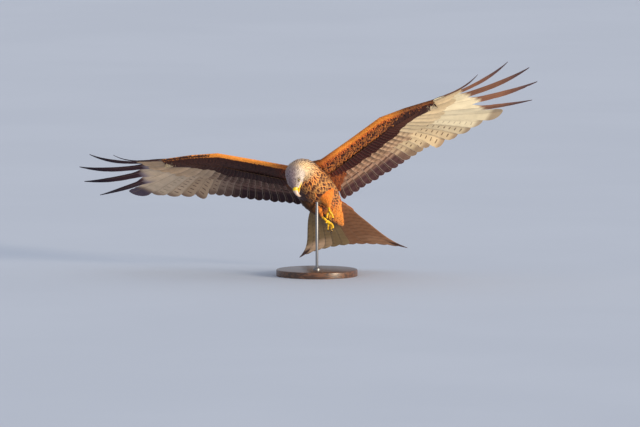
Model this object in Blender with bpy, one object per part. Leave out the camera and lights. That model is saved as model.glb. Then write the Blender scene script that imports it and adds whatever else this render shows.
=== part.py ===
"""A life-size red kite, banking in flight on a plain display stand.

Units are metres and +Z is up. The origin is the middle of the base's underside.
The bird is laid out in its own axes, forward, left and up, measured from the point midway
between its shoulders. It is then turned as one piece into its attitude on the rod.
"""

import math

import bmesh
import bpy
import numpy as np
from mathutils import Matrix, Vector

# Attitude of the whole bird, in degrees: turned to its right, nose up, left wing up
HEADING = 26.0
NOSE_UP = 37.4
BANK = 16.7

# Stand
BASE_RADIUS = 0.150
BASE_HEIGHT = 0.024
BASE_EDGE = 0.004
BASE_SIDES = 40
ROD_RADIUS = 0.005
ROD_COLLAR_RADIUS = 0.013
ROD_COLLAR_HEIGHT = 0.010
ROD_SIDES = 16
ROD_PLACE = (0.0, -0.045)
ROD_MEETS_BIRD = (-0.080, 0.014, -0.060)
TAIL_CLEARANCE = 0.035

# Distance that touching pieces keep
GAP = 0.0003

# Wing, left side: forward, left, up
SHOULDER = (0.000, 0.060, 0.000)
ELBOW = (0.034, 0.190, 0.040)
WRIST = (0.079, 0.318, 0.071)
HAND_MIDDLE = (0.0875, 0.420, 0.083)
HAND_END = (0.088, 0.515, 0.092)
WING_CORE_CHORD = (0.118, 0.106, 0.086, 0.060, 0.036)
WING_CORE_THICKNESS = (0.030, 0.024, 0.021, 0.015, 0.008)
WING_CORE_DROP = 0.010
WING_CORE_TAPER = 0.62
WING_CORE_SHARE_ABOVE = 0.62
WING_CORE_SHARE_BELOW = 0.52
WING_CORE_SIDES = 12
WING_CORE_ROWS = 15
SECONDARIES = 14
INNER_SECONDARY = ((-0.055, 0.080, -0.006), (-0.244, 0.064, -0.010))
BODY_SIDE = ((-0.200, -0.142), (0.047, 0.0625))
OUTER_SECONDARY = ((0.022, 0.310, 0.064), (-0.143, 0.433, 0.067))
SECONDARY_EDGE_CURVE = (-0.002, 0.0, 0.000)
PRIMARIES = 10
PRIMARY_ROOTS = ((0.030, 0.325, 0.066), (0.075, 0.495, 0.088))
PRIMARY_LENGTH = (0.244, 0.268, 0.289, 0.312, 0.366, 0.457, 0.464, 0.429, 0.346, 0.224)
PRIMARY_RISE = (0.017, 0.024, 0.029, 0.036, 0.050, 0.060, 0.092, 0.109, 0.108, 0.055)
PRIMARY_FAN = (48.0, -10.5)
PRIMARY_FAN_BULGE = 4.0
INNER_BOW = 0.010
OUTER_BOW = -0.026
LAST_BOW = -0.018
FINGERS = 5
FINGER_LENGTH = (0.190, 0.232, 0.250, 0.210, 0.150)
FINGER_WIDTH = (0.0205, 0.0075)
FINGER_SLENDER = (1.05, 1.00, 1.00, 0.78, 0.72)
LENGTH_VARIES = 0.012
QUILL_SPACING = 0.014

# Feather vanes
VANE = 0.0007
COVERT_VANE = 0.0006
VANE_TILT = 0.0010
COVERT_TILT = 0.0008
OUTER_WEB = 0.50
INNER_WEB = 0.85
COVERTS_IN_ROW = 15
COVERT_START = 0.030
COVERT_LENGTH = (0.080, 0.085, 0.100, 0.125)
COVERT_LIFT = (0.0050, 0.0030)

# Torso: forward, height of the centre, half width, half height above, half height below
TORSO = (
    (-0.205, -0.039, 0.060, 0.022, 0.034),
    (-0.165, -0.042, 0.068, 0.033, 0.045),
    (-0.120, -0.045, 0.073, 0.043, 0.054),
    (-0.080, -0.045, 0.070, 0.048, 0.059),
    (-0.045, -0.042, 0.063, 0.048, 0.059),
    (-0.010, -0.038, 0.054, 0.045, 0.054),
    (0.020, -0.037, 0.044, 0.040, 0.046),
)
TORSO_SIDES = 24
TORSO_ROWS = 13
BOSS_INNER = 0.015

# Neck and head. The head looks down and is turned to the bird's right.
HEAD_CENTRE = (0.075, -0.012, -0.126)
HEAD_FORWARD = (-0.102, 0.012, -0.990)
HEAD_CROWN = (0.875, -0.475, 0.0)
NECK_BENDS = ((0.043, 0.000, -0.049), (0.074, -0.011, -0.069))
NECK_SUNK = 0.006
NECK_ROWS = 7
NECK_HALF = ((0.044, 0.040, 0.046), (0.041, 0.035, 0.036), (0.037, 0.034, 0.034))
HEAD = (
    (-0.034, 0.0360, 0.0350, 0.0340),
    (-0.018, 0.0335, 0.0335, 0.0310),
    (-0.004, 0.0300, 0.0310, 0.0265),
    (0.010, 0.0250, 0.0262, 0.0220),
    (0.021, 0.0185, 0.0196, 0.0172),
    (0.029, 0.0130, 0.0146, 0.0130),
    (0.032, 0.0108, 0.0122, 0.0110),
)
HEAD_SIDES = 18
EYE = (0.0065, 0.0213, 0.0055)
EYE_RADIUS = 0.0066
LID_RADIUS = 0.0017
LID_REACH = 0.86
LID_STANDS_OUT = 0.0042
LID_SQUINT = 0.84
LID_SIDES = 12
LID_TUBE_SIDES = 6
BROW = (0.0100, 0.0042, 0.0034)

# Bill, in the head's axes: forward, above, half width, half height
UPPER_BILL = (
    (0.0323, 0.0036, 0.0108, 0.0088),
    (0.0395, 0.0032, 0.0097, 0.0084),
    (0.0470, 0.0002, 0.0077, 0.0078),
    (0.0540, -0.0065, 0.0056, 0.0064),
    (0.0567, -0.0152, 0.0033, 0.0045),
    (0.0549, -0.0235, 0.0010, 0.0014),
)
LOWER_BILL = (
    (0.0323, -0.0091, 0.0090, 0.0034),
    (0.0390, -0.0096, 0.0074, 0.0030),
    (0.0450, -0.0114, 0.0048, 0.0024),
    (0.0485, -0.0128, 0.0018, 0.0011),
)
NOSTRIL = (0.0380, 0.0093, 0.0052)
NOSTRIL_SIZE = (0.0020, 0.0022, 0.0015)
GAPE = ((0.0330, 0.0098, -0.0058), (0.0210, 0.0158, -0.0080), (0.0070, 0.0225, -0.0105))
GAPE_RADIUS = (0.0016, 0.0031, 0.0014)
BILL_SIDES = 12

# Tail, from its root back. The half width of the fan grows fast, then slowly, then flares.
TAIL_ROOT = -0.180
TAIL_LENGTH = 0.279
TAIL_FORK = 0.055
TAIL_START = 0.125
TAIL_SPREAD = (0.030, 0.111, 0.075)
TAIL_POWERS = (2.1, 5.3)
TAIL_OUTER_WEB = 0.007
TAIL_FEATHERS = 6
TAIL_HEIGHT = -0.038
TAIL_DROOP = 0.022
TAIL_TWIST = -8.3
TAIL_PAD = (
    (-0.2053, -0.039, 0.060, 0.022, 0.034),
    (-0.218, -0.039, 0.068, 0.017, 0.022),
    (-0.235, -0.041, 0.072, 0.009, 0.010),
    (-0.255, -0.043, 0.074, 0.003, 0.004),
)

# Undertail: how far back, off the midline, centre height, half width, half height
VENT = (
    (-0.208, 0.000, -0.040, 0.054, 0.033),
    (-0.240, 0.002, -0.043, 0.048, 0.033),
    (-0.270, 0.006, -0.045, 0.038, 0.028),
    (-0.300, 0.010, -0.047, 0.027, 0.021),
    (-0.330, 0.014, -0.049, 0.014, 0.012),
    (-0.348, 0.016, -0.050, 0.004, 0.004),
)
UNDERTAIL_COVERTS = 5
UNDERTAIL_COVERT = (-0.262, 0.094, 24.0)
UPPERTAIL_COVERTS = 8
UPPERTAIL_COVERT = (0.16, 0.44, 0.85)

# Legs, left side: forward, left, up
HIP = (-0.078, 0.036, -0.056)
LEFT_ANKLE = (-0.150, 0.033, -0.095)
LEFT_FOOT = (-0.190, 0.021, -0.092)
RIGHT_ANKLE = (-0.205, 0.016, -0.095)
RIGHT_FOOT = (-0.257, 0.006, -0.091)
THIGH = ((0.0, 0.016), (0.28, 0.034), (0.62, 0.026), (0.97, 0.0078))
SHANK_RADII = (0.0050, 0.0042, 0.0056)
TOES = ((0.035, 36.0), (0.040, 0.0), (0.033, -36.0), (0.026, 180.0))
TOE_RADIUS = (0.0042, 0.0030)
TOE_CURL = 100.0
CLAW_LENGTH = 0.018
CLAW_RADIUS = 0.0026
CLAW_CURL = 80.0

COLOURS = {
    "rufous": ((0.52, 0.20, 0.06), 0.8, 0.0),
    "pale_grey": ((0.66, 0.60, 0.54), 0.8, 0.0),
    "flight_brown": ((0.20, 0.14, 0.11), 0.6, 0.0),
    "tail_rufous": ((0.45, 0.25, 0.13), 0.6, 0.0),
    "yellow_skin": ((0.85, 0.60, 0.08), 0.5, 0.0),
    "horn": ((0.12, 0.10, 0.09), 0.35, 0.0),
    "eye": ((0.75, 0.62, 0.30), 0.1, 0.0),
    "dark_wood": ((0.10, 0.055, 0.03), 0.4, 0.0),
    "steel": ((0.62, 0.62, 0.64), 0.3, 1.0),
}

chance = np.random.default_rng(7)


def attitude():
    """The turn that takes the bird's forward, left and up to world X, Y and Z."""
    heading, nose, bank = (math.radians(angle) for angle in (HEADING, NOSE_UP, BANK))
    level = Vector((-math.sin(heading), -math.cos(heading), 0.0))
    level_left = Vector((math.cos(heading), -math.sin(heading), 0.0))
    up = Vector((0.0, 0.0, 1.0))
    forward = level * math.cos(nose) + up * math.sin(nose)
    upright = up * math.cos(nose) - level * math.sin(nose)
    left = level_left * math.cos(bank) + upright * math.sin(bank)
    return np.array(Matrix((forward, left, forward.cross(left))))


def between(start, end, share):
    """Points a share of the way from start to end."""
    start = np.asarray(start, float)
    return start + (np.asarray(end, float) - start) * np.asarray(share)[..., None]


def unit(vector):
    vector = np.asarray(vector, float)
    return vector / np.linalg.norm(vector, axis=-1, keepdims=True)


def twisted(points):
    """Points of the tail, turned about the tail's axis the further back they lie."""
    points = np.asarray(points, float)
    share = np.clip((TAIL_ROOT - 0.02 - points[..., 0]) / 0.10, 0.0, 1.0)
    angle = math.radians(TAIL_TWIST) * share
    across = points[..., 1]
    above = points[..., 2] - TAIL_HEIGHT
    turned = points.copy()
    turned[..., 1] = across * np.cos(angle) - above * np.sin(angle)
    turned[..., 2] = across * np.sin(angle) + above * np.cos(angle) + TAIL_HEIGHT
    return turned


def tail_point(share, place, below=0.0):
    """A point on the tail's surface. share runs back along it, place runs from -1 to 1 across."""
    share = np.asarray(share, float)
    start, fan, flare = TAIL_SPREAD
    fast, late = TAIL_POWERS
    half = start + fan * (1 - (1 - share.clip(0, 1)) ** fast) + flare * share**late
    back = TAIL_ROOT - share * (TAIL_LENGTH + TAIL_FORK * place**2)
    height = TAIL_HEIGHT - TAIL_DROOP * share - below
    return twisted(np.stack([back, place * half, height + 0 * share], axis=-1))


LEGS = {1: (LEFT_ANKLE, LEFT_FOOT), -1: (RIGHT_ANKLE, RIGHT_FOOT)}
TURN = attitude()
tail_tips = tail_point(1.0, 1.0), tail_point(1.0, -1.0)
SHOULDER_HEIGHT = TAIL_CLEARANCE - min((tip @ TURN)[2] for tip in tail_tips)
rod_turned = np.array(ROD_MEETS_BIRD) @ TURN
PLACE = np.array(
    [ROD_PLACE[0] - rod_turned[0], ROD_PLACE[1] - rod_turned[1], SHOULDER_HEIGHT]
)

materials = {}


def material(name):
    if name not in materials:
        colour, roughness, metallic = COLOURS[name]
        made = bpy.data.materials.new(name)
        made.use_nodes = True
        shader = made.node_tree.nodes["Principled BSDF"]
        shader.inputs["Base Color"].default_value = (*colour, 1.0)
        shader.inputs["Roughness"].default_value = roughness
        shader.inputs["Metallic"].default_value = metallic
        materials[name] = made
    return materials[name]


def solid(name, points, faces, finish, in_world=False):
    """One closed mesh object, with its faces pointing out, moved to the bird's place."""
    points = np.asarray(points, float)
    if not in_world:
        points = points @ TURN + PLACE
    mesh = bpy.data.meshes.new(name)
    mesh.from_pydata(points.tolist(), [], faces)
    build = bmesh.new()
    build.from_mesh(mesh)
    bmesh.ops.recalc_face_normals(build, faces=build.faces)
    if build.calc_volume(signed=True) < 0:
        bmesh.ops.reverse_faces(build, faces=build.faces)
    build.to_mesh(mesh)
    build.free()
    mesh.materials.append(material(finish))
    made = bpy.data.objects.new(name, mesh)
    bpy.context.scene.collection.objects.link(made)
    return made


def loft(name, rings, finish, in_world=False):
    """A closed skin over rings of equal size, with a flat cap at both ends."""
    rings = np.asarray(rings, float)
    count, sides, _ = rings.shape
    faces = []
    for row in range(count - 1):
        for side in range(sides):
            after = (side + 1) % sides
            here = row * sides
            there = here + sides
            faces.append((here + side, here + after, there + after, there + side))
    faces.append(tuple(range(sides)))
    faces.append(tuple(range((count - 1) * sides, count * sides)))
    return solid(name, rings.reshape(-1, 3), faces, finish, in_world)


def ring(centre, across, above, half, high, low, sides):
    """An egg-shaped section: its half height differs above and below its centre."""
    angle = np.arange(sides) * 2 * math.pi / sides
    height = np.where(np.sin(angle) > 0, high, low) * np.sin(angle)
    side = half * np.cos(angle)
    return (
        np.asarray(centre)
        + side[:, None] * np.asarray(across)
        + height[:, None] * np.asarray(above)
    )


def apply_boolean(target, operation, solver, cutters):
    """Joins or cuts a collection of closed meshes, applies the result and removes them."""
    group = bpy.data.collections.new(target.name + "_pieces")
    bpy.context.scene.collection.children.link(group)
    for cutter in cutters:
        for home in list(cutter.users_collection):
            home.objects.unlink(cutter)
        group.objects.link(cutter)
    boolean = target.modifiers.new("pieces", "BOOLEAN")
    boolean.operation = operation
    boolean.operand_type = "COLLECTION"
    boolean.collection = group
    boolean.solver = solver
    bpy.context.view_layer.update()
    graph = bpy.context.evaluated_depsgraph_get()
    joined = bpy.data.meshes.new_from_object(target.evaluated_get(graph))
    target.modifiers.clear()
    target.data = joined
    for cutter in cutters:
        bpy.data.objects.remove(cutter)
    bpy.data.collections.remove(group)
    keep_largest(target)
    return target


def keep_largest(target):
    """Keeps the largest closed surface of a mesh and drops the rest."""
    build = bmesh.new()
    build.from_mesh(target.data)
    left = set(build.verts)
    islands = []
    while left:
        seed = left.pop()
        island = {seed}
        edge_of = [seed]
        while edge_of:
            vertex = edge_of.pop()
            for link in vertex.link_edges:
                other = link.other_vert(vertex)
                if other in left:
                    left.discard(other)
                    island.add(other)
                    edge_of.append(other)
        islands.append(island)
    islands.sort(key=len)
    scraps = [vertex for island in islands[:-1] for vertex in island]
    bmesh.ops.delete(build, geom=scraps, context="VERTS")
    build.to_mesh(target.data)
    build.free()


def fuse(target, pieces, solver="EXACT"):
    return apply_boolean(target, "UNION", solver, pieces)


def cut(target, cutters, solver="EXACT"):
    return apply_boolean(target, "DIFFERENCE", solver, cutters)


def vane(edges, thickness, name="vane", finish="flight_brown"):
    """A thin feather vane through rows of two or three points, split alike on both faces."""
    edges = np.asarray(edges, float)
    count, across, _ = edges.shape
    run = np.gradient(edges.mean(axis=1), axis=0)
    normal = unit(np.cross(edges[:, -1] - edges[:, 0], run))
    depth = np.full(count, thickness / 2)
    depth[-1] *= 0.5
    offset = (normal * depth[:, None])[:, None, :]
    points = np.concatenate([edges + offset, edges - offset]).reshape(-1, 3)
    under = count * across
    faces = []
    for row in range(count - 1):
        here = row * across
        there = here + across
        for column in range(across - 1):
            first = (here + column, here + column + 1, there + column + 1)
            second = (here + column, there + column + 1, there + column)
            for corners in (first, second):
                faces.append(corners)
                faces.append(tuple(under + corner for corner in reversed(corners)))
        for column in (0, across - 1):
            low = here + column
            high = there + column
            faces.append((low, high, under + high))
            faces.append((low, under + high, under + low))
    for row in (0, count - 1):
        for column in range(across - 1):
            start = row * across + column
            faces.append((start, start + 1, under + start + 1, under + start))
    return solid(name, points, faces, finish)


def round_tip(share, start):
    """The part of a vane's width that is left near a rounded tip."""
    past = ((share - start) / (1 - start)).clip(0, 1)
    return np.sqrt(1 - 0.99 * past**2)


def pointed_tip(share, start):
    past = ((share - start) / (1 - start)).clip(0, 1)
    return 1 - 0.92 * past**1.6


def wing_feathers():
    """Roots, tips and bows of the flight feathers, from the innermost secondary outwards."""
    share = np.arange(SECONDARIES) / (SECONDARIES - 1)
    roots = between(INNER_SECONDARY[0], OUTER_SECONDARY[0], share)
    tips = between(INNER_SECONDARY[1], OUTER_SECONDARY[1], share)
    tips += np.outer(4 * share * (1 - share), SECONDARY_EDGE_CURVE)
    step = np.arange(PRIMARIES) / (PRIMARIES - 1)
    hand_roots = between(*PRIMARY_ROOTS, step)
    fan = PRIMARY_FAN[0] + (PRIMARY_FAN[1] - PRIMARY_FAN[0]) * step
    fan = np.radians(fan + PRIMARY_FAN_BULGE * np.sin(math.pi * step))
    length = np.array(PRIMARY_LENGTH)
    reach = [-np.sin(fan) * length, np.cos(fan) * length, np.array(PRIMARY_RISE)]
    hand_tips = hand_roots + np.stack(reach, axis=-1)
    bows = np.concatenate(
        [
            np.full(SECONDARIES, INNER_BOW),
            INNER_BOW + (OUTER_BOW - INNER_BOW) * step**1.3,
        ]
    )
    roots = np.concatenate([roots, hand_roots])
    tips = np.concatenate([tips, hand_tips])
    bows[-1] = LAST_BOW
    uneven = 1 + chance.uniform(-LENGTH_VARIES, LENGTH_VARIES, len(tips))
    uneven[-FINGERS:] = 1
    return roots, roots + (tips - roots) * uneven[:, None], bows


ROOTS, TIPS, BOWS = wing_feathers()
LENGTHS = np.linalg.norm(TIPS - ROOTS, axis=1)
FLIGHT_FEATHERS = SECONDARIES + PRIMARIES


def quill(index, distance):
    """The quill of a flight feather at distances from its root. The index need not be whole."""
    steps = np.arange(FLIGHT_FEATHERS)
    inside = min(max(index, 0.0), FLIGHT_FEATHERS - 1.0)

    def mixed(values):
        return np.array([np.interp(inside, steps, column) for column in values.T])

    root = mixed(ROOTS)
    tip = mixed(TIPS)
    bow = float(np.interp(inside, steps, BOWS))
    share = np.asarray(distance, float) / np.linalg.norm(tip - root)
    line = between(root, tip, share)
    line[:, 2] += bow * 6.75 * share**2 * (1 - share)
    line[:, 1] += min(index, 0.0) * QUILL_SPACING
    line[:, 0] += max(index - FLIGHT_FEATHERS + 1.0, 0.0) * QUILL_SPACING
    return line


def web_share(index, share, length, web):
    """How far a web reaches towards the next quill, kept to a finger's width past the notch."""
    finger = index - (FLIGHT_FEATHERS - FINGERS)
    if finger < 0 or index != round(index):
        return np.full(len(share), web)
    from_tip = (1 - share) * length
    notch = FINGER_LENGTH[int(finger)]
    inner = web == INNER_WEB
    wide = FINGER_WIDTH[0] if inner else FINGER_WIDTH[1]
    gap = np.linalg.norm(
        quill(index, share * length) - quill(index + (-1 if inner else 1), share * length),
        axis=1,
    )
    wide = wide * FINGER_SLENDER[int(finger)]
    narrow = wide * (0.62 + 0.38 * (from_tip / notch).clip(0, 1)) / gap
    mix = ((from_tip - notch) / 0.05).clip(0, 1)
    return np.minimum(web, narrow + (web - narrow).clip(0) * mix)


def flight_vane(index):
    """One flight feather: its outer edge is tilted up over the inner edge of the next one out."""
    length = LENGTHS[index]
    primary = index >= SECONDARIES
    if primary:
        share = np.array([0.0, 0.34, 0.66, 0.90, 0.97, 1.0])
    else:
        share = np.array([0.0, 0.48, 0.90, 0.97, 1.0])
    finger = index >= FLIGHT_FEATHERS - FINGERS
    if finger:
        share = np.array([0.0, 0.22, 0.42, 0.56, 0.70, 0.84, 0.94, 1.0])
    tip = pointed_tip(share, 0.72) if finger else round_tip(share, 0.89)
    along = share * length
    middle = quill(index, along)
    outer = web_share(index, share, length, OUTER_WEB) * tip
    inner = web_share(index, share, length, INNER_WEB) * tip
    lead = middle + (quill(index + 1, along) - middle) * outer[:, None]
    trail = middle + (quill(index - 1, along) - middle) * inner[:, None]
    lead[:, 2] += VANE_TILT
    trail[:, 2] -= VANE_TILT
    trail[:, 1] = np.maximum(trail[:, 1], np.interp(trail[:, 0], *BODY_SIDE))
    return np.stack([lead, middle, trail], axis=1)


def covert_vane(index, step, side):
    """One greater covert, over or under the flight feathers. side is 1 above and -1 below."""
    length = float(np.interp(index, (0, 10, 16, 22), COVERT_LENGTH))
    share = np.array([0.0, 0.5, 0.86, 1.0])
    tip = round_tip(share, 0.6)
    along = COVERT_START + share * length
    middle = quill(index, along)
    lead = middle + (quill(index + step, along) - middle) * (OUTER_WEB * tip)[:, None]
    trail = middle + (quill(index - step, along) - middle) * (INNER_WEB * tip)[:, None]
    lift = side * (COVERT_LIFT[0] + (COVERT_LIFT[1] - COVERT_LIFT[0]) * share)
    lead[:, 2] += lift + COVERT_TILT
    trail[:, 2] += lift - COVERT_TILT
    trail[:, 1] = np.maximum(trail[:, 1], np.interp(trail[:, 0], *BODY_SIDE))
    return np.stack([lead, trail], axis=1)


def wing_core_rings(first, count):
    """Sections of the fleshy arm and hand, from a distance off the midline to the hand's end."""
    keys = np.array((SHOULDER, ELBOW, WRIST, HAND_MIDDLE, HAND_END))
    angle = np.arange(WING_CORE_SIDES) * 2 * math.pi / WING_CORE_SIDES
    back = 0.5 * (1 - np.cos(angle))
    rise = np.sin(angle)
    share = np.where(rise > 0, WING_CORE_SHARE_ABOVE, WING_CORE_SHARE_BELOW)
    wedge = rise * (1 - WING_CORE_TAPER * back) * share
    rings = []
    for left in np.linspace(first, HAND_END[1], count):
        forward, up, chord, thick = (
            np.interp(left, keys[:, 1], values)
            for values in (keys[:, 0], keys[:, 2], WING_CORE_CHORD, WING_CORE_THICKNESS)
        )
        section = np.zeros((WING_CORE_SIDES, 3))
        section[:, 0] = forward - back * chord
        section[:, 1] = left
        section[:, 2] = up - back * WING_CORE_DROP + wedge * thick
        rings.append(section)
    return np.array(rings)


def mirrored(points, side):
    """Points of the left side, turned into the right one where side is -1."""
    return np.asarray(points, float) * np.array([1.0, side, 1.0])


def wing(name, side):
    """One wing: the fleshy core, and the flight feathers and greater coverts rooted in it."""
    rings = wing_core_rings(SHOULDER[1] + GAP, WING_CORE_ROWS)
    core = loft(name, mirrored(rings, side), "flight_brown")
    pieces = []
    for index in range(FLIGHT_FEATHERS):
        pieces.append(vane(mirrored(flight_vane(index), side), VANE))
    step = (FLIGHT_FEATHERS - 1) / (COVERTS_IN_ROW - 1)
    for number in range(COVERTS_IN_ROW):
        for above in (1, -1):
            shape = covert_vane(number * step, step, above)
            pieces.append(vane(mirrored(shape, side), COVERT_VANE))
    return fuse(core, pieces)


def tail_vane(number, side):
    """One tail feather, counted from the middle out, with its outer edge over the next one."""
    share = TAIL_START + (1 - TAIL_START) * np.array([0.0, 0.3, 0.6, 0.82, 0.93, 1.0])
    place = (number + 0.5) / (TAIL_FEATHERS - 0.5)
    step = 1 / (TAIL_FEATHERS - 0.5)
    middle = tail_point(share, side * place)
    outermost = number == TAIL_FEATHERS - 1
    lead = middle + (tail_point(share, side * (place + step)) - middle) * 0.5
    if outermost:
        lead = middle + unit(lead - middle) * TAIL_OUTER_WEB
    inner = tail_point(share, side * (place - step)) - middle
    trail = middle + inner * (INNER_WEB * round_tip(share, 0.80))[:, None]
    lead = middle + (lead - middle) * round_tip(share, 0.90)[:, None]
    lead[:, 2] += VANE_TILT
    trail[:, 2] += VANE_TILT if number == 0 and side > 0 else -VANE_TILT
    return np.stack([lead, middle, trail], axis=1)


def uppertail_covert(number):
    """One of the coverts over the root of the tail, longest in the middle."""
    half_row = (UPPERTAIL_COVERTS - 1) / 2
    place = (number - half_row) / half_row
    start, longest, spread = UPPERTAIL_COVERT
    end = longest - 0.08 * place**2
    share = start + (end - start) * np.array([0.0, 0.55, 0.86, 1.0])
    tip = round_tip((share - start) / (end - start), 0.6)
    lift = np.interp(share, (start, end), (0.0045, 0.0030))
    middle = tail_point(share, spread * place)
    lead = tail_point(share, spread * (place + 1 / half_row))
    trail = tail_point(share, spread * (place - 1 / half_row))
    lead = middle + (lead - middle) * (0.45 * tip)[:, None]
    trail = middle + (trail - middle) * (0.80 * tip)[:, None]
    lead[:, 2] += lift + COVERT_TILT
    trail[:, 2] += lift - COVERT_TILT
    return np.stack([lead, trail], axis=1)


def vent_surface(back, around, outward):
    """A point on the cone of feathers under the tail, around is in degrees from the left."""
    rows = np.array(VENT)
    across, height, half, deep = (
        np.interp(back, rows[::-1, 0], rows[::-1, column]) for column in range(1, 5)
    )
    angle = np.radians(around)
    side = across + (half + outward) * np.cos(angle)
    up = height - (deep + outward) * np.sin(angle)
    return np.stack([back + 0 * side, side, up], axis=-1)


def undertail_covert(number):
    """One long covert on the cone under the tail, standing off it towards its tip."""
    start, length, half = UNDERTAIL_COVERT
    around = 35 + 110 * number / (UNDERTAIL_COVERTS - 1)
    share = np.array([0.0, 0.5, 0.85, 1.0])
    back = start - length * share
    off = -0.003 + 0.006 * share
    wide = half * round_tip(share, 0.5)
    lead = vent_surface(back, around - wide, off)
    trail = vent_surface(back, around + wide, off)
    return np.stack([lead, trail], axis=1)


def body_rings(rows, sides, grow=0.0):
    """Upright sections across the bird's forward axis."""
    rings = []
    for forward, height, *sizes in rows:
        half, high, low = (size + grow for size in sizes)
        rings.append(ring((forward, 0, height), (0, 1, 0), (0, 0, 1), half, high, low, sides))
    return np.array(rings)


def smooth_rows(rows, count):
    """More rows on a smooth curve through the key rows."""
    rows = np.asarray(rows, float)
    knots = np.arange(len(rows))
    slopes = np.gradient(rows, axis=0)
    made = []
    for place in np.linspace(0, len(rows) - 1, count):
        low = min(int(place), len(rows) - 2)
        part = place - knots[low]
        start, end = rows[low], rows[low + 1]
        made.append(
            start * (1 + 2 * part) * (1 - part) ** 2
            + slopes[low] * part * (1 - part) ** 2
            + end * part**2 * (3 - 2 * part)
            + slopes[low + 1] * part**2 * (part - 1)
        )
    return np.array(made)


def torso_shape(name, grow=0.0):
    """The torso, or with grow the cutter that keeps its neighbours that far away."""
    rings = body_rings(smooth_rows(TORSO, TORSO_ROWS), TORSO_SIDES, grow)
    rings[0, :, 0] -= grow
    rings[-1, :, 0] += grow
    return loft(name, rings, "rufous")


def shoulder_boss(side):
    """The stub of the arm that the torso carries, out to the plane where the wing begins."""
    rings = wing_core_rings(SHOULDER[1], 2)
    inner = rings[0].copy()
    inner[:, 1] = BOSS_INNER
    return loft("boss", mirrored(np.array([inner, rings[0]]), side), "rufous")


def head_axes():
    forward = unit(HEAD_FORWARD)
    crown = np.array(HEAD_CROWN)
    crown = unit(crown - forward * (crown @ forward))
    left = np.cross(crown, forward)
    return forward, left, crown


HEAD_AXES = np.array(head_axes())


def in_head(points):
    """Points given as forward, left and crown of the head, in the bird's axes."""
    return np.asarray(points, float) @ HEAD_AXES + np.array(HEAD_CENTRE)


def neck_path(share):
    """The bent line from the torso's front to the back of the head, with its direction."""
    start = np.array((TORSO[-1][0] - NECK_SUNK, 0.0, TORSO[-1][1]))
    end = in_head((HEAD[0][0] - GAP, 0.0, 0.0))
    first, second = (np.array(bend) for bend in NECK_BENDS)
    rest = 1 - share
    point = start * rest**3 + 3 * first * rest**2 * share + 3 * second * rest * share**2
    point = point + end * share**3
    run = (first - start) * rest**2 + 2 * (second - first) * rest * share
    run = run + (end - second) * share**2
    return point, unit(run)


def neck():
    """The neck bends down from the torso and turns its upper side towards the head's crown."""
    forward, _, crown = HEAD_AXES
    rings = []
    for share in np.linspace(0, 1, NECK_ROWS):
        point, run = neck_path(share)
        run = unit(run * (1 - share) + forward * share)
        if share == 0:
            run = np.array((1.0, 0.0, 0.0))
        upper = np.array((0.0, 0.0, 1.0)) * (1 - share) + crown * share
        upper = unit(upper - run * (upper @ run))
        half, high, low = (
            np.interp(share, (0, 0.5, 1), [key[part] for key in NECK_HALF]) for part in range(3)
        )
        rings.append(ring(point, np.cross(upper, run), upper, half, high, low, HEAD_SIDES))
    return cut(loft("neck", rings, "rufous"), [torso_shape("torso_cutter", GAP)])


def ball(name, centre, radii, finish, rows=7, sides=12):
    """An egg with its poles on the second of the three axes."""
    turn = np.arange(sides) * 2 * math.pi / sides
    points = [(0.0, -radii[1], 0.0)]
    for row in range(1, rows):
        tilt = math.pi * row / rows
        for angle in turn:
            points.append(
                (
                    radii[0] * math.sin(tilt) * math.cos(angle),
                    -radii[1] * math.cos(tilt),
                    radii[2] * math.sin(tilt) * math.sin(angle),
                )
            )
    points.append((0.0, radii[1], 0.0))
    last = len(points) - 1
    faces = [(0, 1 + side, 1 + (side + 1) % sides) for side in range(sides)]
    for row in range(rows - 2):
        for side in range(sides):
            here = 1 + row * sides
            there = here + sides
            after = (side + 1) % sides
            faces.append((here + side, there + side, there + after, here + after))
    foot = 1 + (rows - 2) * sides
    faces += [(last, foot + (side + 1) % sides, foot + side) for side in range(sides)]
    placed = in_head(np.array(points) + np.asarray(centre))
    return solid(name, placed, faces, finish)


def lid(side):
    """The rim of the eyelids, a ring of round section about the eye."""
    forward, left, above = EYE
    reach = EYE_RADIUS * LID_REACH
    outward_of_head = np.array((0.0, side, 0.0))
    middle = np.array((forward, side * (left + LID_STANDS_OUT), above))
    tube_turns = np.arange(LID_TUBE_SIDES)[:, None] * 2 * math.pi / LID_TUBE_SIDES
    rings = []
    for turn in np.arange(LID_SIDES) * 2 * math.pi / LID_SIDES:
        outward = np.array((math.cos(turn), 0.0, math.sin(turn)))
        squint = LID_SQUINT if math.sin(turn) > 0 else 1.0
        centre = middle + outward * reach * np.array((1.0, 0.0, squint))
        section = outward * np.cos(tube_turns) + outward_of_head * np.sin(tube_turns)
        rings.append(centre + LID_RADIUS * section)
    rings = in_head(np.array(rings))
    faces = []
    for row in range(LID_SIDES):
        for turn in range(LID_TUBE_SIDES):
            here = row * LID_TUBE_SIDES
            there = (row + 1) % LID_SIDES * LID_TUBE_SIDES
            after = (turn + 1) % LID_TUBE_SIDES
            faces.append((here + turn, here + after, there + after, there + turn))
    return solid("lid", rings.reshape(-1, 3), faces, "yellow_skin")


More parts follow.
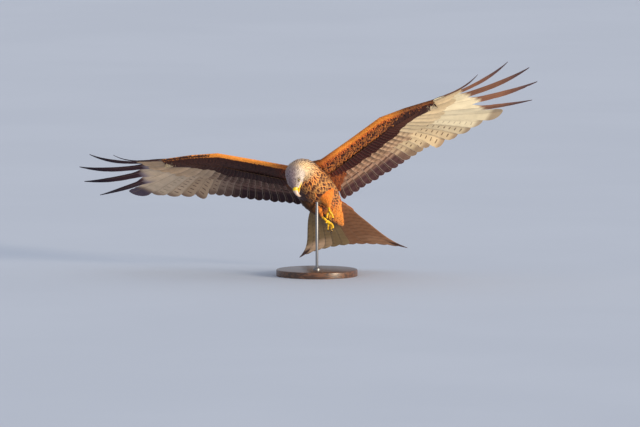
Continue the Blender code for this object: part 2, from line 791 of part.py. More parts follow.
def head():
    """The head, with brows, sockets for the eyes and a rim of lids."""
    rows = smooth_rows(HEAD, 11)
    rings = []
    for forward, half, high, low in rows:
        section = ring((forward, 0, 0), (0, 1, 0), (0, 0, 1), half, high, low, HEAD_SIDES)
        rings.append(in_head(section))
    made = loft("head", rings, "pale_grey")
    extras = []
    for side in (1, -1):
        brow_place = (EYE[0] + 0.001, side * (EYE[1] - 0.0005), EYE[2] + 0.0072)
        extras.append(ball("brow", brow_place, BROW, "pale_grey"))
        extras.append(lid(side))
        corner = in_head(mirrored(GAPE, side))
        ways = np.gradient(corner, axis=0)
        extras.append(tube("gape", corner, ways, GAPE_RADIUS, "yellow_skin", 6))
    fuse(made, extras)
    sockets = [
        ball("socket", (EYE[0], side * EYE[1], EYE[2]), (EYE_RADIUS + GAP,) * 3, "pale_grey")
        for side in (1, -1)
    ]
    return cut(made, sockets)


def bill(name, rows, finish):
    """A half of the bill, as sections that turn with its curved middle line."""
    rows = np.array(rows)
    path = rows[:, :2]
    run = np.gradient(path, axis=0)
    run[0] = (1.0, 0.0)
    run = unit(run)
    rings = []
    for (forward, above, half, high), (along, rise) in zip(rows, run):
        upward = (-rise, 0.0, along)
        section = ring((forward, 0, above), (0, 1, 0), upward, half, high, high, BILL_SIDES)
        rings.append(in_head(section))
    return loft(name, rings, finish)


def upper_bill():
    """The upper bill and cere, with the nostrils sunk into the cere."""
    made = bill("bill_upper", smooth_rows(UPPER_BILL, 11), "yellow_skin")
    holes = [
        ball("hole", mirrored(NOSTRIL, side), NOSTRIL_SIZE, "horn", rows=4, sides=8)
        for side in (1, -1)
    ]
    return cut(made, holes)


def leg(name, side, ankle):
    """The feathered thigh and shank, shaped to lie against the torso's underside."""
    hip, ankle = mirrored(HIP, side), mirrored(ankle, side)
    run = unit(ankle - hip)
    across = unit(np.cross(run, (0, 0, 1)))
    above = np.cross(across, run)
    rings = [
        ring(between(hip, ankle, share), across, above, half, half, half, 12)
        for share, half in THIGH
    ]
    made = loft(name, rings, "rufous")
    return cut(made, [torso_shape("torso_cutter", GAP)])


def arc_path(start, run, bend, length, turn, steps):
    """Points and directions on an arc that starts along run and turns towards bend."""
    angles = math.radians(turn) * np.linspace(0, 1, steps)
    radius = length / math.radians(turn)
    points = (
        np.asarray(start)
        + np.outer(np.sin(angles) * radius, run)
        + np.outer((1 - np.cos(angles)) * radius, bend)
    )
    directions = np.outer(np.cos(angles), run) + np.outer(np.sin(angles), bend)
    return points, directions


def tube(name, points, directions, radii, finish, sides=8):
    """A round tube along a path, with a radius at each point."""
    points = np.asarray(points, float)
    directions = unit(directions)
    side_on = unit(np.cross(directions[0], directions[-1] + np.array((0.01, 0.02, 0.0))))
    rings = [
        ring(point, side_on, unit(np.cross(side_on, run)), radius, radius, radius, sides)
        for point, run, radius in zip(points, directions, radii)
    ]
    return loft(name, rings, finish)


def foot(name, side, claw_names, ankle, centre):
    """The bare shank end and four curled toes, each with its own claw."""
    ankle = mirrored(ankle, side)
    centre = mirrored(centre, side)
    run = unit(centre - ankle)
    begin = ankle + run * 0.0004
    ends = np.array([begin, between(begin, centre, 0.5), centre + run * 0.004])
    shank = tube(name, ends, np.array([run, run, run]), SHANK_RADII, "yellow_skin")
    down = unit(np.array((-0.25, 0.0, -1.0)))
    down = unit(down - run * (down @ run))
    sideways = np.cross(down, run)
    pieces = []
    claws = []
    for (length, splay), claw_name in zip(TOES, claw_names):
        angle = math.radians(splay) * side
        way = run * math.cos(angle) + sideways * math.sin(angle)
        turn = TOE_CURL if splay != 180.0 else TOE_CURL * 0.7
        points, directions = arc_path(centre - way * 0.001, way, down, length, turn, 7)
        radii = np.linspace(*TOE_RADIUS, 7)
        pieces.append(tube("toe", points, directions, radii, "yellow_skin", 7))
        end_run = directions[-1]
        end_bend = np.cross(np.cross(directions[0], directions[-1]), end_run)
        start = points[-1] + end_run * GAP
        claw_points, claw_ways = arc_path(
            start, end_run, unit(end_bend), CLAW_LENGTH, CLAW_CURL, 5
        )
        claw_sizes = CLAW_RADIUS * (1 - 0.86 * np.linspace(0, 1, 5) ** 1.3)
        claws.append(tube(claw_name, claw_points, claw_ways, claw_sizes, "horn", 6))
    return fuse(shank, pieces), claws


def stand():
    """A round wooden base and one steel rod that ends against the bird's belly."""
    turn = np.arange(BASE_SIDES) * 2 * math.pi / BASE_SIDES
    profile = (
        (BASE_RADIUS, 0.0),
        (BASE_RADIUS, BASE_HEIGHT - BASE_EDGE),
        (BASE_RADIUS - BASE_EDGE, BASE_HEIGHT),
    )
    rings = [
        np.stack([radius * np.cos(turn), radius * np.sin(turn), 0 * turn + height], axis=-1)
        for radius, height in profile
    ]
    loft("stand_base", rings, "dark_wood", in_world=True)
    around = np.arange(ROD_SIDES) * 2 * math.pi / ROD_SIDES
    foot_height = BASE_HEIGHT + GAP
    top = float(PLACE[2] + rod_turned[2])
    steps = (
        (ROD_COLLAR_RADIUS, foot_height),
        (ROD_COLLAR_RADIUS, foot_height + ROD_COLLAR_HEIGHT * 0.7),
        (ROD_RADIUS * 1.3, foot_height + ROD_COLLAR_HEIGHT),
        (ROD_RADIUS, foot_height + ROD_COLLAR_HEIGHT),
        (ROD_RADIUS, top),
    )
    rod_rings = [
        np.stack(
            [
                ROD_PLACE[0] + radius * np.cos(around),
                ROD_PLACE[1] + radius * np.sin(around),
                0 * around + height,
            ],
            axis=-1,
        )
        for radius, height in steps
    ]
    rod = loft("stand_rod", rod_rings, "steel", in_world=True)
    cut(rod, [torso_shape("torso_cutter", GAP)])


def tail():
    """The tail's root, the cone of feathers under it, and its quills' vanes and coverts."""
    core = loft("tail", body_rings(smooth_rows(TAIL_PAD, 6), 20), "tail_rufous")
    cone_rings = [
        ring((back, off, height), (0, 1, 0), (0, 0, 1), half, 0.35 * deep, deep, 14)
        for back, off, height, half, deep in smooth_rows(VENT, 7)
    ]
    pieces = [loft("vent", cone_rings, "rufous")]
    for side in (1, -1):
        for number in range(TAIL_FEATHERS):
            pieces.append(vane(tail_vane(number, side), VANE))
    for number in range(UNDERTAIL_COVERTS):
        pieces.append(vane(undertail_covert(number), COVERT_VANE))
    for number in range(UPPERTAIL_COVERTS):
        pieces.append(vane(uppertail_covert(number), COVERT_VANE))
    return fuse(core, pieces)


def shade(made):
    made.data.shade_smooth()
    made.data.set_sharp_from_angle(angle=math.radians(35))


def main():
    for leftover in list(bpy.data.objects):
        bpy.data.objects.remove(leftover)
    fuse(torso_shape("torso"), [shoulder_boss(1), shoulder_boss(-1)])
    neck()
    head()
    for label, side in (("left", 1), ("right", -1)):
        ball("eye_" + label, (EYE[0], side * EYE[1], EYE[2]), (EYE_RADIUS,) * 3, "eye")
        wing("wing_" + label, side)
        ankle, centre = LEGS[side]
        leg("leg_" + label, side, ankle)
        claws = [f"claw_{label}_{number}" for number in range(1, 5)]
        foot("foot_" + label, side, claws, ankle, centre)
    upper_bill()
    bill("bill_lower", smooth_rows(LOWER_BILL, 6), "yellow_skin")
    tail()
    stand()
    for made in bpy.data.objects:
        shade(made)


main()
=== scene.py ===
# %% [markdown]
# # A life-size red kite on a display stand
# The object is a museum model of a red kite, a long-winged bird of prey with a forked tail.
# It banks in flight on a thin steel rod over a round wooden base, and its head looks down.
# The solids of the model are loaded first. They give every size and place, and are never
# moved. The pieces made below are the surfaces that a visitor sees: skin, feathers, horn,
# scales, wood and steel. A piece that stands for solids hides them.

# %% Load the solids
import math

import bpy
import numpy as np
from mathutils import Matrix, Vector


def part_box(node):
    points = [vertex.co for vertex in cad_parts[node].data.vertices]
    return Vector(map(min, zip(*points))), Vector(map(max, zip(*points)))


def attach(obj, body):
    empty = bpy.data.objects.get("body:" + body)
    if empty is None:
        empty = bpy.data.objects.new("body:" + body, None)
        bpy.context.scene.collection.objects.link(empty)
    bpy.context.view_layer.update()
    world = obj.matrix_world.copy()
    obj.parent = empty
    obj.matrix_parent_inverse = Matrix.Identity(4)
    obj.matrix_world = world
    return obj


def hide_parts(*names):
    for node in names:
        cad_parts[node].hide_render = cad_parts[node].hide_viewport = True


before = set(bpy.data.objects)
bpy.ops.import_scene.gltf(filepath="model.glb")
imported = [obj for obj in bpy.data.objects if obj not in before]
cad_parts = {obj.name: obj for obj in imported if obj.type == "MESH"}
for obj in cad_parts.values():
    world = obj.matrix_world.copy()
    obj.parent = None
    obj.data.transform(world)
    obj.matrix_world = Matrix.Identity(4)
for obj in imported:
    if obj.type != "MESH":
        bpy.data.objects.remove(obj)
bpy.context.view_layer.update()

chance = np.random.default_rng(11)

# %% [markdown]
# ## The bird's own axes
# A bird in a bank is awkward to build in place. So every shape is worked out with the bird
# level: forward, left and up, measured from the point between its shoulders. One turn and
# one shift then carry all of it to the rod, the same turn and shift that the solids had.
# The distance from the left eye's centre to the centre of the eye's solid is printed.

# %% Turn the bird's axes to the world
HEADING, NOSE_UP, BANK = (math.radians(angle) for angle in (26.0, 37.4, 16.7))
SHOULDERS = np.array((-0.04117854, -0.05950798, 0.41846224))


def unit(vectors):
    """Vectors divided by their lengths."""
    vectors = np.asarray(vectors, float)
    return vectors / np.maximum(np.linalg.norm(vectors, axis=-1, keepdims=True), 1e-12)


def layers(*rows):
    """Arrays or numbers, spread to one shape, as the last axis of one array."""
    return np.stack(np.broadcast_arrays(*rows), -1)


def placed(name, data):
    """A new object in the scene."""
    made = bpy.data.objects.new(name, data)
    bpy.context.scene.collection.objects.link(made)
    return made


def attitude():
    """Rows forward, left and up of the bird, after its heading, then nose up, then bank."""
    level = np.array((-math.sin(HEADING), -math.cos(HEADING), 0.0))
    level_left = np.array((math.cos(HEADING), -math.sin(HEADING), 0.0))
    up = np.array((0.0, 0.0, 1.0))
    forward = level * math.cos(NOSE_UP) + up * math.sin(NOSE_UP)
    upright = up * math.cos(NOSE_UP) - level * math.sin(NOSE_UP)
    left = level_left * math.cos(BANK) + upright * math.sin(BANK)
    return np.array((forward, left, np.cross(forward, left)))


TURN = attitude()
HEAD_CENTRE = np.array((0.075, -0.012, -0.126))
HEAD_FORWARD = unit((-0.102, 0.012, -0.990))
HEAD_CROWN = np.array((0.875, -0.475, 0.0))
HEAD_CROWN = unit(HEAD_CROWN - HEAD_FORWARD * (HEAD_CROWN @ HEAD_FORWARD))
HEAD_AXES = np.array((HEAD_FORWARD, np.cross(HEAD_CROWN, HEAD_FORWARD), HEAD_CROWN))
EYE = np.array((0.0065, 0.0213, 0.0055))


def to_world(points):
    """Points of the bird's axes in the world: each is turned, then shifted to the shoulders."""
    return np.asarray(points, float) @ TURN + SHOULDERS


def in_head(points):
    """Points given as forward, left and crown of the head, in the bird's axes."""
    return np.asarray(points, float) @ HEAD_AXES + HEAD_CENTRE


eye_low, eye_high = (np.array(corner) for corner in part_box("eye_left"))
eye_error = np.abs(to_world(in_head(EYE)) - (eye_low + eye_high) / 2).max()
print("left eye is", round(eye_error * 1000, 2), "mm from the solid's centre")

# %% [markdown]
# ## Camera
# The photograph was taken with a long lens, far away and a little above the model's level.
# A long lens flattens depth: near and far wing tips keep nearly the same scale. The camera
# stands 40 metres off, and its lens is worked out from the scale that the photograph shows.
# The aim is set so that the shoulders fall on the same place in the frame.

# %% Camera
FRAME_WIDTH, FRAME_HEIGHT = 640, 427
PIXELS_PER_METRE = 272.0
SHOULDERS_IN_FRAME = (305.7, 163.8)
CAMERA_DISTANCE = 40.0
CAMERA_RISE = math.radians(5.0)
SENSOR_MM = 36.0

right_way = np.array((1.0, 0.0, 0.0))
up_way = np.array((0.0, math.sin(CAMERA_RISE), math.cos(CAMERA_RISE)))
back_way = np.array((0.0, -math.cos(CAMERA_RISE), math.sin(CAMERA_RISE)))
beside = (FRAME_WIDTH / 2 - SHOULDERS_IN_FRAME[0]) / PIXELS_PER_METRE
above = (FRAME_HEIGHT / 2 - SHOULDERS_IN_FRAME[1]) / PIXELS_PER_METRE
aim = SHOULDERS + right_way * beside - up_way * above

camera_data = bpy.data.cameras.new("camera")
camera_data.sensor_width = SENSOR_MM
camera_data.lens = SENSOR_MM * CAMERA_DISTANCE * PIXELS_PER_METRE / FRAME_WIDTH
camera_data.clip_end = 1000.0
camera = placed("camera", camera_data)
camera.location = aim + back_way * CAMERA_DISTANCE
camera.rotation_euler = (math.pi / 2 - CAMERA_RISE, 0.0, 0.0)
bpy.context.scene.camera = camera
print("lens", round(camera_data.lens), "mm")

# %% [markdown]
# ## Light and floor
# A low warm light from the right stands for the evening sun of the photograph. It is wide,
# so that its shadows are soft. A pale sky all round fills the shadows with cooler light.
# The floor is one very large pale disc, so that it is all the background from any height.
# It is the stage and not a part of the model.

# %% Light and floor
SUN_WAY = unit((0.80, -0.58, 0.16))
SUN_STRENGTH = 4.3
SUN_COLOUR = (1.0, 0.86, 0.66)
SUN_WIDTH = math.radians(14.0)
SKY_COLOUR = (0.80, 0.87, 1.0)
SKY_STRENGTH = 0.68
FLOOR_RADIUS = 400.0
FLOOR_SIDES = 64

bpy.context.scene.view_settings.view_transform = "Standard"

sun_data = bpy.data.lights.new("soft_sun", "SUN")
sun_data.energy = SUN_STRENGTH
sun_data.color = SUN_COLOUR
sun_data.angle = SUN_WIDTH
sun = placed("soft_sun", sun_data)
turn_z = math.atan2(SUN_WAY[1], SUN_WAY[0]) + math.pi / 2
sun.rotation_euler = (math.acos(SUN_WAY[2]), 0.0, turn_z)

sky = bpy.data.worlds.new("pale_sky")
sky.use_nodes = True
sky_light = sky.node_tree.nodes["Background"]
sky_light.inputs["Color"].default_value = (*SKY_COLOUR, 1.0)
sky_light.inputs["Strength"].default_value = SKY_STRENGTH
bpy.context.scene.world = sky

# %% [markdown]
# ## Meshes from arrays
# Every surface below is worked out as whole arrays of points. One helper turns the arrays
# into a mesh: the points, the corners of its faces, the colours that its points carry and
# its maps. It also hangs the piece on a root empty and hides the solids that it replaces.
# With foreach_set a hundred thousand points go in at once, which no loop over vertices could do in time.

# %% One helper for every mesh
SHARP_FOLD = math.radians(75)


def add_piece(name, points, faces, finishes, slot, replaces=(), carried=(), places=None, face_slot=None):
    """A mesh object at the origin, smooth but for sharp folds. faces is a list of corner numbers.

    carried holds arrays of one row a point: three columns are a colour or a vector, and a
    name that starts with at_ is a vector. places holds UV places of one row a point.
    """
    corners = np.concatenate([group.ravel() for group in faces]).astype(np.int32)
    counts = np.concatenate([np.full(len(group), group.shape[1]) for group in faces])
    mesh = bpy.data.meshes.new(name)
    mesh.vertices.add(len(points))
    mesh.vertices.foreach_set("co", np.asarray(points, np.float32).ravel())
    mesh.loops.add(len(corners))
    mesh.loops.foreach_set("vertex_index", corners)
    mesh.polygons.add(len(counts))
    starts = np.concatenate([[0], np.cumsum(counts)[:-1]])
    mesh.polygons.foreach_set("loop_start", starts.astype(np.int32))
    mesh.update(calc_edges=True)
    for finish in finishes:
        mesh.materials.append(finish)
    if face_slot is not None:
        mesh.polygons.foreach_set("material_index", np.asarray(face_slot, np.int32))
    for label, values in dict(carried).items():
        values = np.asarray(values, np.float32)
        if label.startswith("at_"):
            layer = mesh.attributes.new(label, "FLOAT_VECTOR", "POINT")
            layer.data.foreach_set("vector", values.ravel())
        else:
            layer = mesh.attributes.new(label, "FLOAT_COLOR", "POINT")
            layer.data.foreach_set("color", np.insert(values, 3, 1.0, axis=1).ravel())
    if places is not None:
        layer = mesh.uv_layers.new(name="OFBake")
        layer.data.foreach_set("uv", np.asarray(places, np.float32)[corners].ravel())
    mesh.shade_smooth()
    mesh.set_sharp_from_angle(angle=SHARP_FOLD)
    mesh.validate()
    made = placed(name, mesh)
    triangles = int((counts - 2).sum())
    print(name, len(points), "points", triangles, "triangles")
    if slot is None:
        return made
    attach(made, "root")
    if replaces:
        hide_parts(*replaces)
    return made


def ring_faces(rows, columns):
    """Corners of the quads between rings of points, numbered ring by ring."""
    column = np.arange(columns)
    after = (column + 1) % columns
    one = layers(column, after, columns + after, columns + column)
    return (one + np.arange(rows - 1)[:, None, None] * columns).reshape(-1, 4)


def outward(points, faces):
    """The same faces, turned where the closed surface would be inside out."""
    volume = 0.0
    for group in faces:
        corner = points[group]
        for k in range(1, group.shape[1] - 1):
            volume += np.einsum("ij,ij->i", corner[:, 0], np.cross(corner[:, k], corner[:, k + 1])).sum()
    return faces if volume > 0 else [group[:, ::-1] for group in faces]


# %% [markdown]
# ## Finishes: how a node graph is written
# A finish is a graph of small nodes that ends in one shader. One class keeps the graphs
# short. It starts a finish with its fixed numbers set on the shader itself, where the export
# reads them, and each of its methods makes a node, joins its inputs and gives its output.

# %% One class for node graphs
class Look:
    """A finish and its node graph."""

    def __init__(self, name, roughness, **fixed):
        """Sets the fixed numbers on the shader by socket name, with _ for a space."""
        self.finish = bpy.data.materials.new(name)
        self.finish.use_nodes = True
        self.sockets = self.finish.node_tree.nodes["Principled BSDF"].inputs
        self.put(self.sockets["Roughness"], roughness)
        for label, value in fixed.items():
            self.put(self.sockets[label.replace("_", " ")], value)

    def put(self, socket, value):
        """Joins a socket to another node's output, or sets it to a number or an opaque colour."""
        if isinstance(value, bpy.types.NodeSocket):
            self.finish.node_tree.links.new(value, socket)
        elif socket.type == "RGBA":
            socket.default_value = (*value, 1.0)
        else:
            socket.default_value = value

    def node(self, kind, inputs=None, output=0, **settings):
        """Makes a node, sets it up and gives back one of its outputs."""
        made = self.finish.node_tree.nodes.new(kind)
        for label, value in settings.items():
            setattr(made, label, value)
        for socket, value in (inputs or {}).items():
            self.put(made.inputs[socket], value)
        return made.outputs[output]

    def math(self, operation, first, second=0.0, third=0.0):
        """One sum of up to three values."""
        inputs = {0: first, 1: second, 2: third}
        return self.node("ShaderNodeMath", inputs, operation=operation)

    def times(self, first, second):
        """The two values multiplied."""
        return self.math("MULTIPLY", first, second)

    def line(self, value, slope, start):
        """The value times the slope, plus the start."""
        return self.math("MULTIPLY_ADD", value, slope, start)

    def blend(self, share, first, second, kind="MIX"):
        """A colour a share of the way from the first to the second."""
        inputs = {0: share, 6: first, 7: second}
        return self.node("ShaderNodeMix", inputs, 2, data_type="RGBA", blend_type=kind)

    def toned(self, colour, tone):
        """A colour times a grey."""
        grey = self.node("ShaderNodeCombineColor", {0: tone, 1: tone, 2: tone})
        return self.blend(1.0, colour, grey, "MULTIPLY")

    def ramp(self, value, low, high, start=0.0, end=1.0):
        """start below low, end above high, and a smooth change between."""
        inputs = {0: value, 1: low, 2: high, 3: start, 4: end}
        return self.node("ShaderNodeMapRange", inputs, interpolation_type="SMOOTHSTEP")

    def attribute(self, label, output="Color"):
        """What the mesh carries under that label."""
        return self.node("ShaderNodeAttribute", output=output, attribute_name=label)

    def parts(self, vector):
        """The three parts of a vector."""
        return self.node("ShaderNodeSeparateXYZ", {0: vector}).node.outputs

    def feather(self):
        """The parts of a point's place on its feather, the parts of the pattern, and the place across."""
        lay, pattern = (self.parts(self.attribute(n, "Vector")) for n in ("at_lay", "at_pattern"))
        return lay, pattern, self.math("ABSOLUTE", lay[0])

    def place(self):
        """The piece's own coordinates."""
        return self.node("ShaderNodeTexCoord", output="Object")

    def noise(self, scale, detail=3.0, place=None):
        """Cloudy grey values about one half, on the piece's own coordinates."""
        place = place or self.place()
        inputs = {"Vector": place, "Scale": scale, "Detail": detail, "Roughness": 0.55}
        return self.node("ShaderNodeTexNoise", inputs)

    def done(self, colour, height=None, strength=0.3, depth=0.0005, rough=None):
        """Joins the colour, a changing roughness and the bump to the shader."""
        self.put(self.sockets["Base Color"], colour)
        if rough is not None:
            self.put(self.sockets["Roughness"], rough)
        if height is not None:
            inputs = {"Height": height, "Strength": strength, "Distance": depth}
            self.put(self.sockets["Normal"], self.node("ShaderNodeBump", inputs))
        return self.finish


# %% [markdown]
# ## Floor
# The floor is plain pale plaster. It is a wide disc of one many-sided face, and only a
# faint cloudiness keeps it from looking like paper.

# %% Floor
FLOOR_COLOURS = (0.56, 0.60, 0.68), (0.58, 0.62, 0.70)


def turns(count):
    """Angles of a full turn in even steps, without its end."""
    return np.arange(count) * 2 * math.pi / count


def circle(angle, first, second):
    """Round from the first way to the second: cosine times the one plus sine times the other."""
    return np.cos(angle)[..., None] * first + np.sin(angle)[..., None] * second


look = Look("pale_plaster", 0.9)
plaster = look.done(look.blend(look.ramp(look.noise(0.6), 0.35, 0.65), *FLOOR_COLOURS))
turn = turns(FLOOR_SIDES)
disc = layers(FLOOR_RADIUS * np.cos(turn), FLOOR_RADIUS * np.sin(turn), 0)
add_piece("floor", disc, [np.arange(FLOOR_SIDES)[None, :]], [plaster], None)

# %% [markdown]
# ## The body as one tube
# A bird's head, neck, breast and belly are one flowing form. It is described here as a tube
# that runs from the base of the bill, bends down the neck, follows the back and ends in the
# point of the feathers under the tail. Each row of the table is one egg-shaped section:
# its centre, its two directions, its half width and its heights above and below. The rows
# are the same sizes that the solids were made from. A point of the surface is then a
# function of two numbers: how far along the tube, and the angle round it.

# %% Sections of the body
HEAD = (
    (-0.034, 0.0360, 0.0350, 0.0340),
    (-0.018, 0.0335, 0.0335, 0.0310),
    (-0.004, 0.0300, 0.0310, 0.0265),
    (0.010, 0.0250, 0.0262, 0.0220),
    (0.021, 0.0185, 0.0196, 0.0172),
    (0.029, 0.0130, 0.0146, 0.0130),
    (0.032, 0.0108, 0.0122, 0.0110),
)
NECK_BENDS = np.array(((0.014, 0.0, -0.037), (0.043, 0.0, -0.049), (0.074, -0.011, -0.069)))
NECK_HALF = ((0.044, 0.040, 0.046), (0.041, 0.035, 0.036), (0.037, 0.034, 0.034))
TORSO = (
    (-0.205, -0.039, 0.060, 0.022, 0.034),
    (-0.165, -0.042, 0.068, 0.033, 0.045),
    (-0.120, -0.045, 0.073, 0.043, 0.054),
    (-0.080, -0.045, 0.070, 0.048, 0.059),
    (-0.045, -0.042, 0.063, 0.048, 0.059),
    (-0.010, -0.038, 0.054, 0.045, 0.054),
    (0.020, -0.037, 0.044, 0.040, 0.046),
)
UNDER_TAIL = (
    (-0.222, 0.000, -0.0400, 0.057, 0.016, 0.033),
    (-0.245, 0.002, -0.0430, 0.047, 0.008, 0.032),
    (-0.270, 0.006, -0.0450, 0.038, 0.003, 0.028),
    (-0.300, 0.010, -0.0470, 0.027, 0.002, 0.021),
    (-0.330, 0.014, -0.0490, 0.014, 0.002, 0.012),
    (-0.346, 0.016, -0.0500, 0.005, 0.002, 0.004),
)
TABLE_ROWS = 180


def eased(share):
    """A smooth step from 0 to 1: three times the square less twice the cube."""
    share = np.clip(share, 0.0, 1.0)
    return share * share * (3 - 2 * share)


def soft(value, start, width):
    """The smooth step from 0 at start to 1 a width further on. It falls where width is negative."""
    return eased((value - start) / width)


def smooth_rows(rows, count):
    """More rows on a smooth curve through the key rows, with slopes taken between neighbours."""
    rows = np.asarray(rows, float)
    slopes = np.gradient(rows, axis=0)
    place = np.linspace(0, len(rows) - 1, count)
    low = np.minimum(place.astype(int), len(rows) - 2)
    part = (place - low)[:, None]
    start, end = rows[low], rows[low + 1]
    return (
        start * (1 + 2 * part) * (1 - part) ** 2
        + slopes[low] * part * (1 - part) ** 2
        + end * part**2 * (3 - 2 * part)
        + slopes[low + 1] * part**2 * (part - 1)
    )


def between(place, keys, table):
    """The table's row at places between the keys, each column worked out by itself."""
    return layers(*(np.interp(place, keys, column) for column in np.transpose(table)))


def neck_rows(count):
    """Sections on the bent line of the neck, from the head's back down to the breast."""
    share = np.linspace(0.93, 0.07, count)[:, None]
    rest = 1 - share
    end = in_head((-0.0343, 0.0, 0.0))
    start, first, second = NECK_BENDS
    centre = start * rest**3 + 3 * first * rest**2 * share + 3 * second * rest * share**2
    centre = centre + end * share**3
    run = (first - start) * rest**2 + 2 * (second - first) * rest * share + (end - second) * share**2
    run = unit(run)
    above = np.array((0.0, 0.0, 1.0)) * rest + HEAD_CROWN * share
    above = unit(above - run * (above * run).sum(1, keepdims=True))
    sizes = between(share[:, 0], (0, 0.5, 1), NECK_HALF)
    return np.concatenate([centre, np.cross(above, run), above, sizes], 1)


def body_table():
    """All sections from the bill to under the tail, evened out and spaced alike."""
    head = smooth_rows(HEAD, 18)[::-1]
    head = [np.concatenate([in_head((x, 0, 0)), *HEAD_AXES[1:], size]) for x, *size in head]
    trunk = smooth_rows(TORSO, 26)[::-1]
    trunk = trunk[trunk[:, 0] < 0.006]
    trunk = np.insert(trunk, 1, 0.0, axis=1)
    trunk = np.concatenate([trunk, UNDER_TAIL])
    ways = np.tile((0.0, 1.0, 0.0, 0.0, 0.0, 1.0), (len(trunk), 1))
    trunk = np.concatenate([trunk[:, :3], ways, trunk[:, 3:]], 1)
    rows = np.concatenate([np.stack(head), neck_rows(12), trunk])
    steps = np.linalg.norm(np.diff(rows[:, :3], axis=0), axis=1)
    along = np.concatenate([[0], np.cumsum(steps)])
    even = np.linspace(0, along[-1], TABLE_ROWS)
    table = between(even, along, rows)
    padded = np.pad(table, ((4, 4), (0, 0)), mode="edge")
    weights = np.hanning(11)[1:-1]
    smooth = np.stack([np.convolve(column, weights / weights.sum(), "valid") for column in padded.T], 1)
    smooth[:5], smooth[-4:] = table[:5], table[-4:]
    run = unit(np.gradient(smooth[:, :3], axis=0))
    smooth[:, 6:9] = unit(smooth[:, 6:9] - run * (smooth[:, 6:9] * run).sum(1, keepdims=True) * 0.8)
    smooth[:, 3:6] = unit(smooth[:, 3:6])
    return even, smooth


BODY_ALONG, BODY = body_table()
BODY_LENGTH = BODY_ALONG[-1]


def face_relief(along, angle):
    """The brow stands out above each eye and the socket is sunk: two bell curves on each side."""
    fold = np.arctan2(np.sin(angle), np.abs(np.cos(angle)))
    brow = 0.0030 * np.exp(-(((along - 0.0235) / 0.0085) ** 2) - ((fold - 0.58) / 0.20) ** 2)
    socket = 0.0030 * np.exp(-(((along - 0.0250) / 0.0060) ** 2) - ((fold - 0.18) / 0.22) ** 2)
    return brow - socket


def body_point(along, angle, out=0.0):
    """A point of the body: centre plus half width times cosine plus height times sine."""
    along, angle = np.broadcast_arrays(np.asarray(along, float), np.asarray(angle, float))
    out = out + face_relief(along, angle)
    centre, across, above, sizes = np.split(between(along, BODY_ALONG, BODY), 4, axis=-1)
    half, high, low = np.moveaxis(sizes, -1, 0)
    rise = np.where(np.sin(angle) > 0, high, low) + out
    side = (half + out) * np.cos(angle)
    return centre + across * side[..., None] + above * (rise * np.sin(angle))[..., None]


HEAD_END = float(np.interp(in_head((-0.034, 0, 0))[2], BODY[:60, 2], BODY_ALONG[:60]))
RUMP = float(np.interp(0.20, -BODY[80:, 0], BODY_ALONG[80:]))
NECK_END = float(np.interp(-0.0, -BODY[40:120, 0], BODY_ALONG[40:120]))
print("body tube", round(BODY_LENGTH, 3), "m, head ends", round(HEAD_END, 3), "neck", round(NECK_END, 3))

# %% [markdown]
# ## Arms and thighs
# The fleshy part of a wing is a thin wedge: thick along its front edge and sharp behind.
# Its section is a half cosine across and a sine up, scaled by the chord and the thickness
# that belong to each distance from the midline. A thigh is a drumstick: a straight line
# from hip to ankle with a radius that swells and then shrinks.

# %% Arms and thighs
CORE_LEFT = (0.060, 0.190, 0.318, 0.420, 0.515)
CORE_FORWARD = (0.0, 0.034, 0.079, 0.0875, 0.088)
CORE_UP = (0.0, 0.040, 0.071, 0.083, 0.092)
CORE_CHORD = (0.118, 0.106, 0.086, 0.060, 0.036)
CORE_THICK = (0.030, 0.024, 0.021, 0.015, 0.008)
CORE_DROP = 0.010
HIP = np.array((-0.078, 0.036, -0.056))
ANKLES = {1: np.array((-0.150, 0.033, -0.095)), -1: np.array((-0.205, 0.016, -0.095))}
FEET = {1: np.array((-0.190, 0.021, -0.092)), -1: np.array((-0.257, 0.006, -0.091))}
THIGH = ((0.0, 0.016), (0.28, 0.034), (0.62, 0.026), (0.97, 0.0078))
SIDES = {"left": 1, "right": -1}


def mirrored(points, side):
    """Points of the left side, turned into the right one where side is -1."""
    return np.asarray(points, float) * np.array((1.0, side, 1.0))


def core_point(left, angle, out=0.0):
    """A point of the arm: front edge less chord times share back, plus the wedge's height."""
    sizes = (CORE_FORWARD, CORE_UP, CORE_CHORD, CORE_THICK)
    forward, up, chord, thick = (np.interp(left, CORE_LEFT, keys) for keys in sizes)
    back, rise = 0.5 * (1 - np.cos(angle)), np.sin(angle)
    height = rise * (1 - 0.62 * back) * thick * np.where(rise > 0, 0.62, 0.52)
    x = forward - back * chord + out * np.cos(angle)
    return layers(x, left, up - back * CORE_DROP + height + out * rise)


def thigh_point(side, share, angle, out=0.0):
    """A point of the thigh: the line from hip to ankle plus a circle of the thigh's radius."""
    hip, ankle = mirrored(HIP, side), mirrored(ANKLES[side], side)
    run = unit(ankle - hip)
    across = unit(np.cross(run, (0, 0, 1)))
    above = np.cross(across, run)
    radius = np.interp(share, *smooth_rows(THIGH, 20).T) + out
    return hip + share[..., None] * (ankle - hip) + radius[..., None] * circle(angle, across, above)


# %% [markdown]
# ## Plumage colours
# A red kite's colours change smoothly over the body: a streaked pale grey head, cream and
# orange hackles, a rufous breast, brighter orange thighs and a dark back with rufous edges.
# One function gives the ground colour at any place, so that the skin and the feathers that
# grow on it always agree. The colours are named as the eye sees them and turned to the
# linear values that the renderer works in.

# %% Ground colours
def seen(red, green, blue):
    """Linear values of a colour given from 0 to 255 as a screen shows it."""
    value = np.array((red, green, blue)) / 255.0
    return np.where(value <= 0.04045, value / 12.92, ((value + 0.055) / 1.055) ** 2.4)


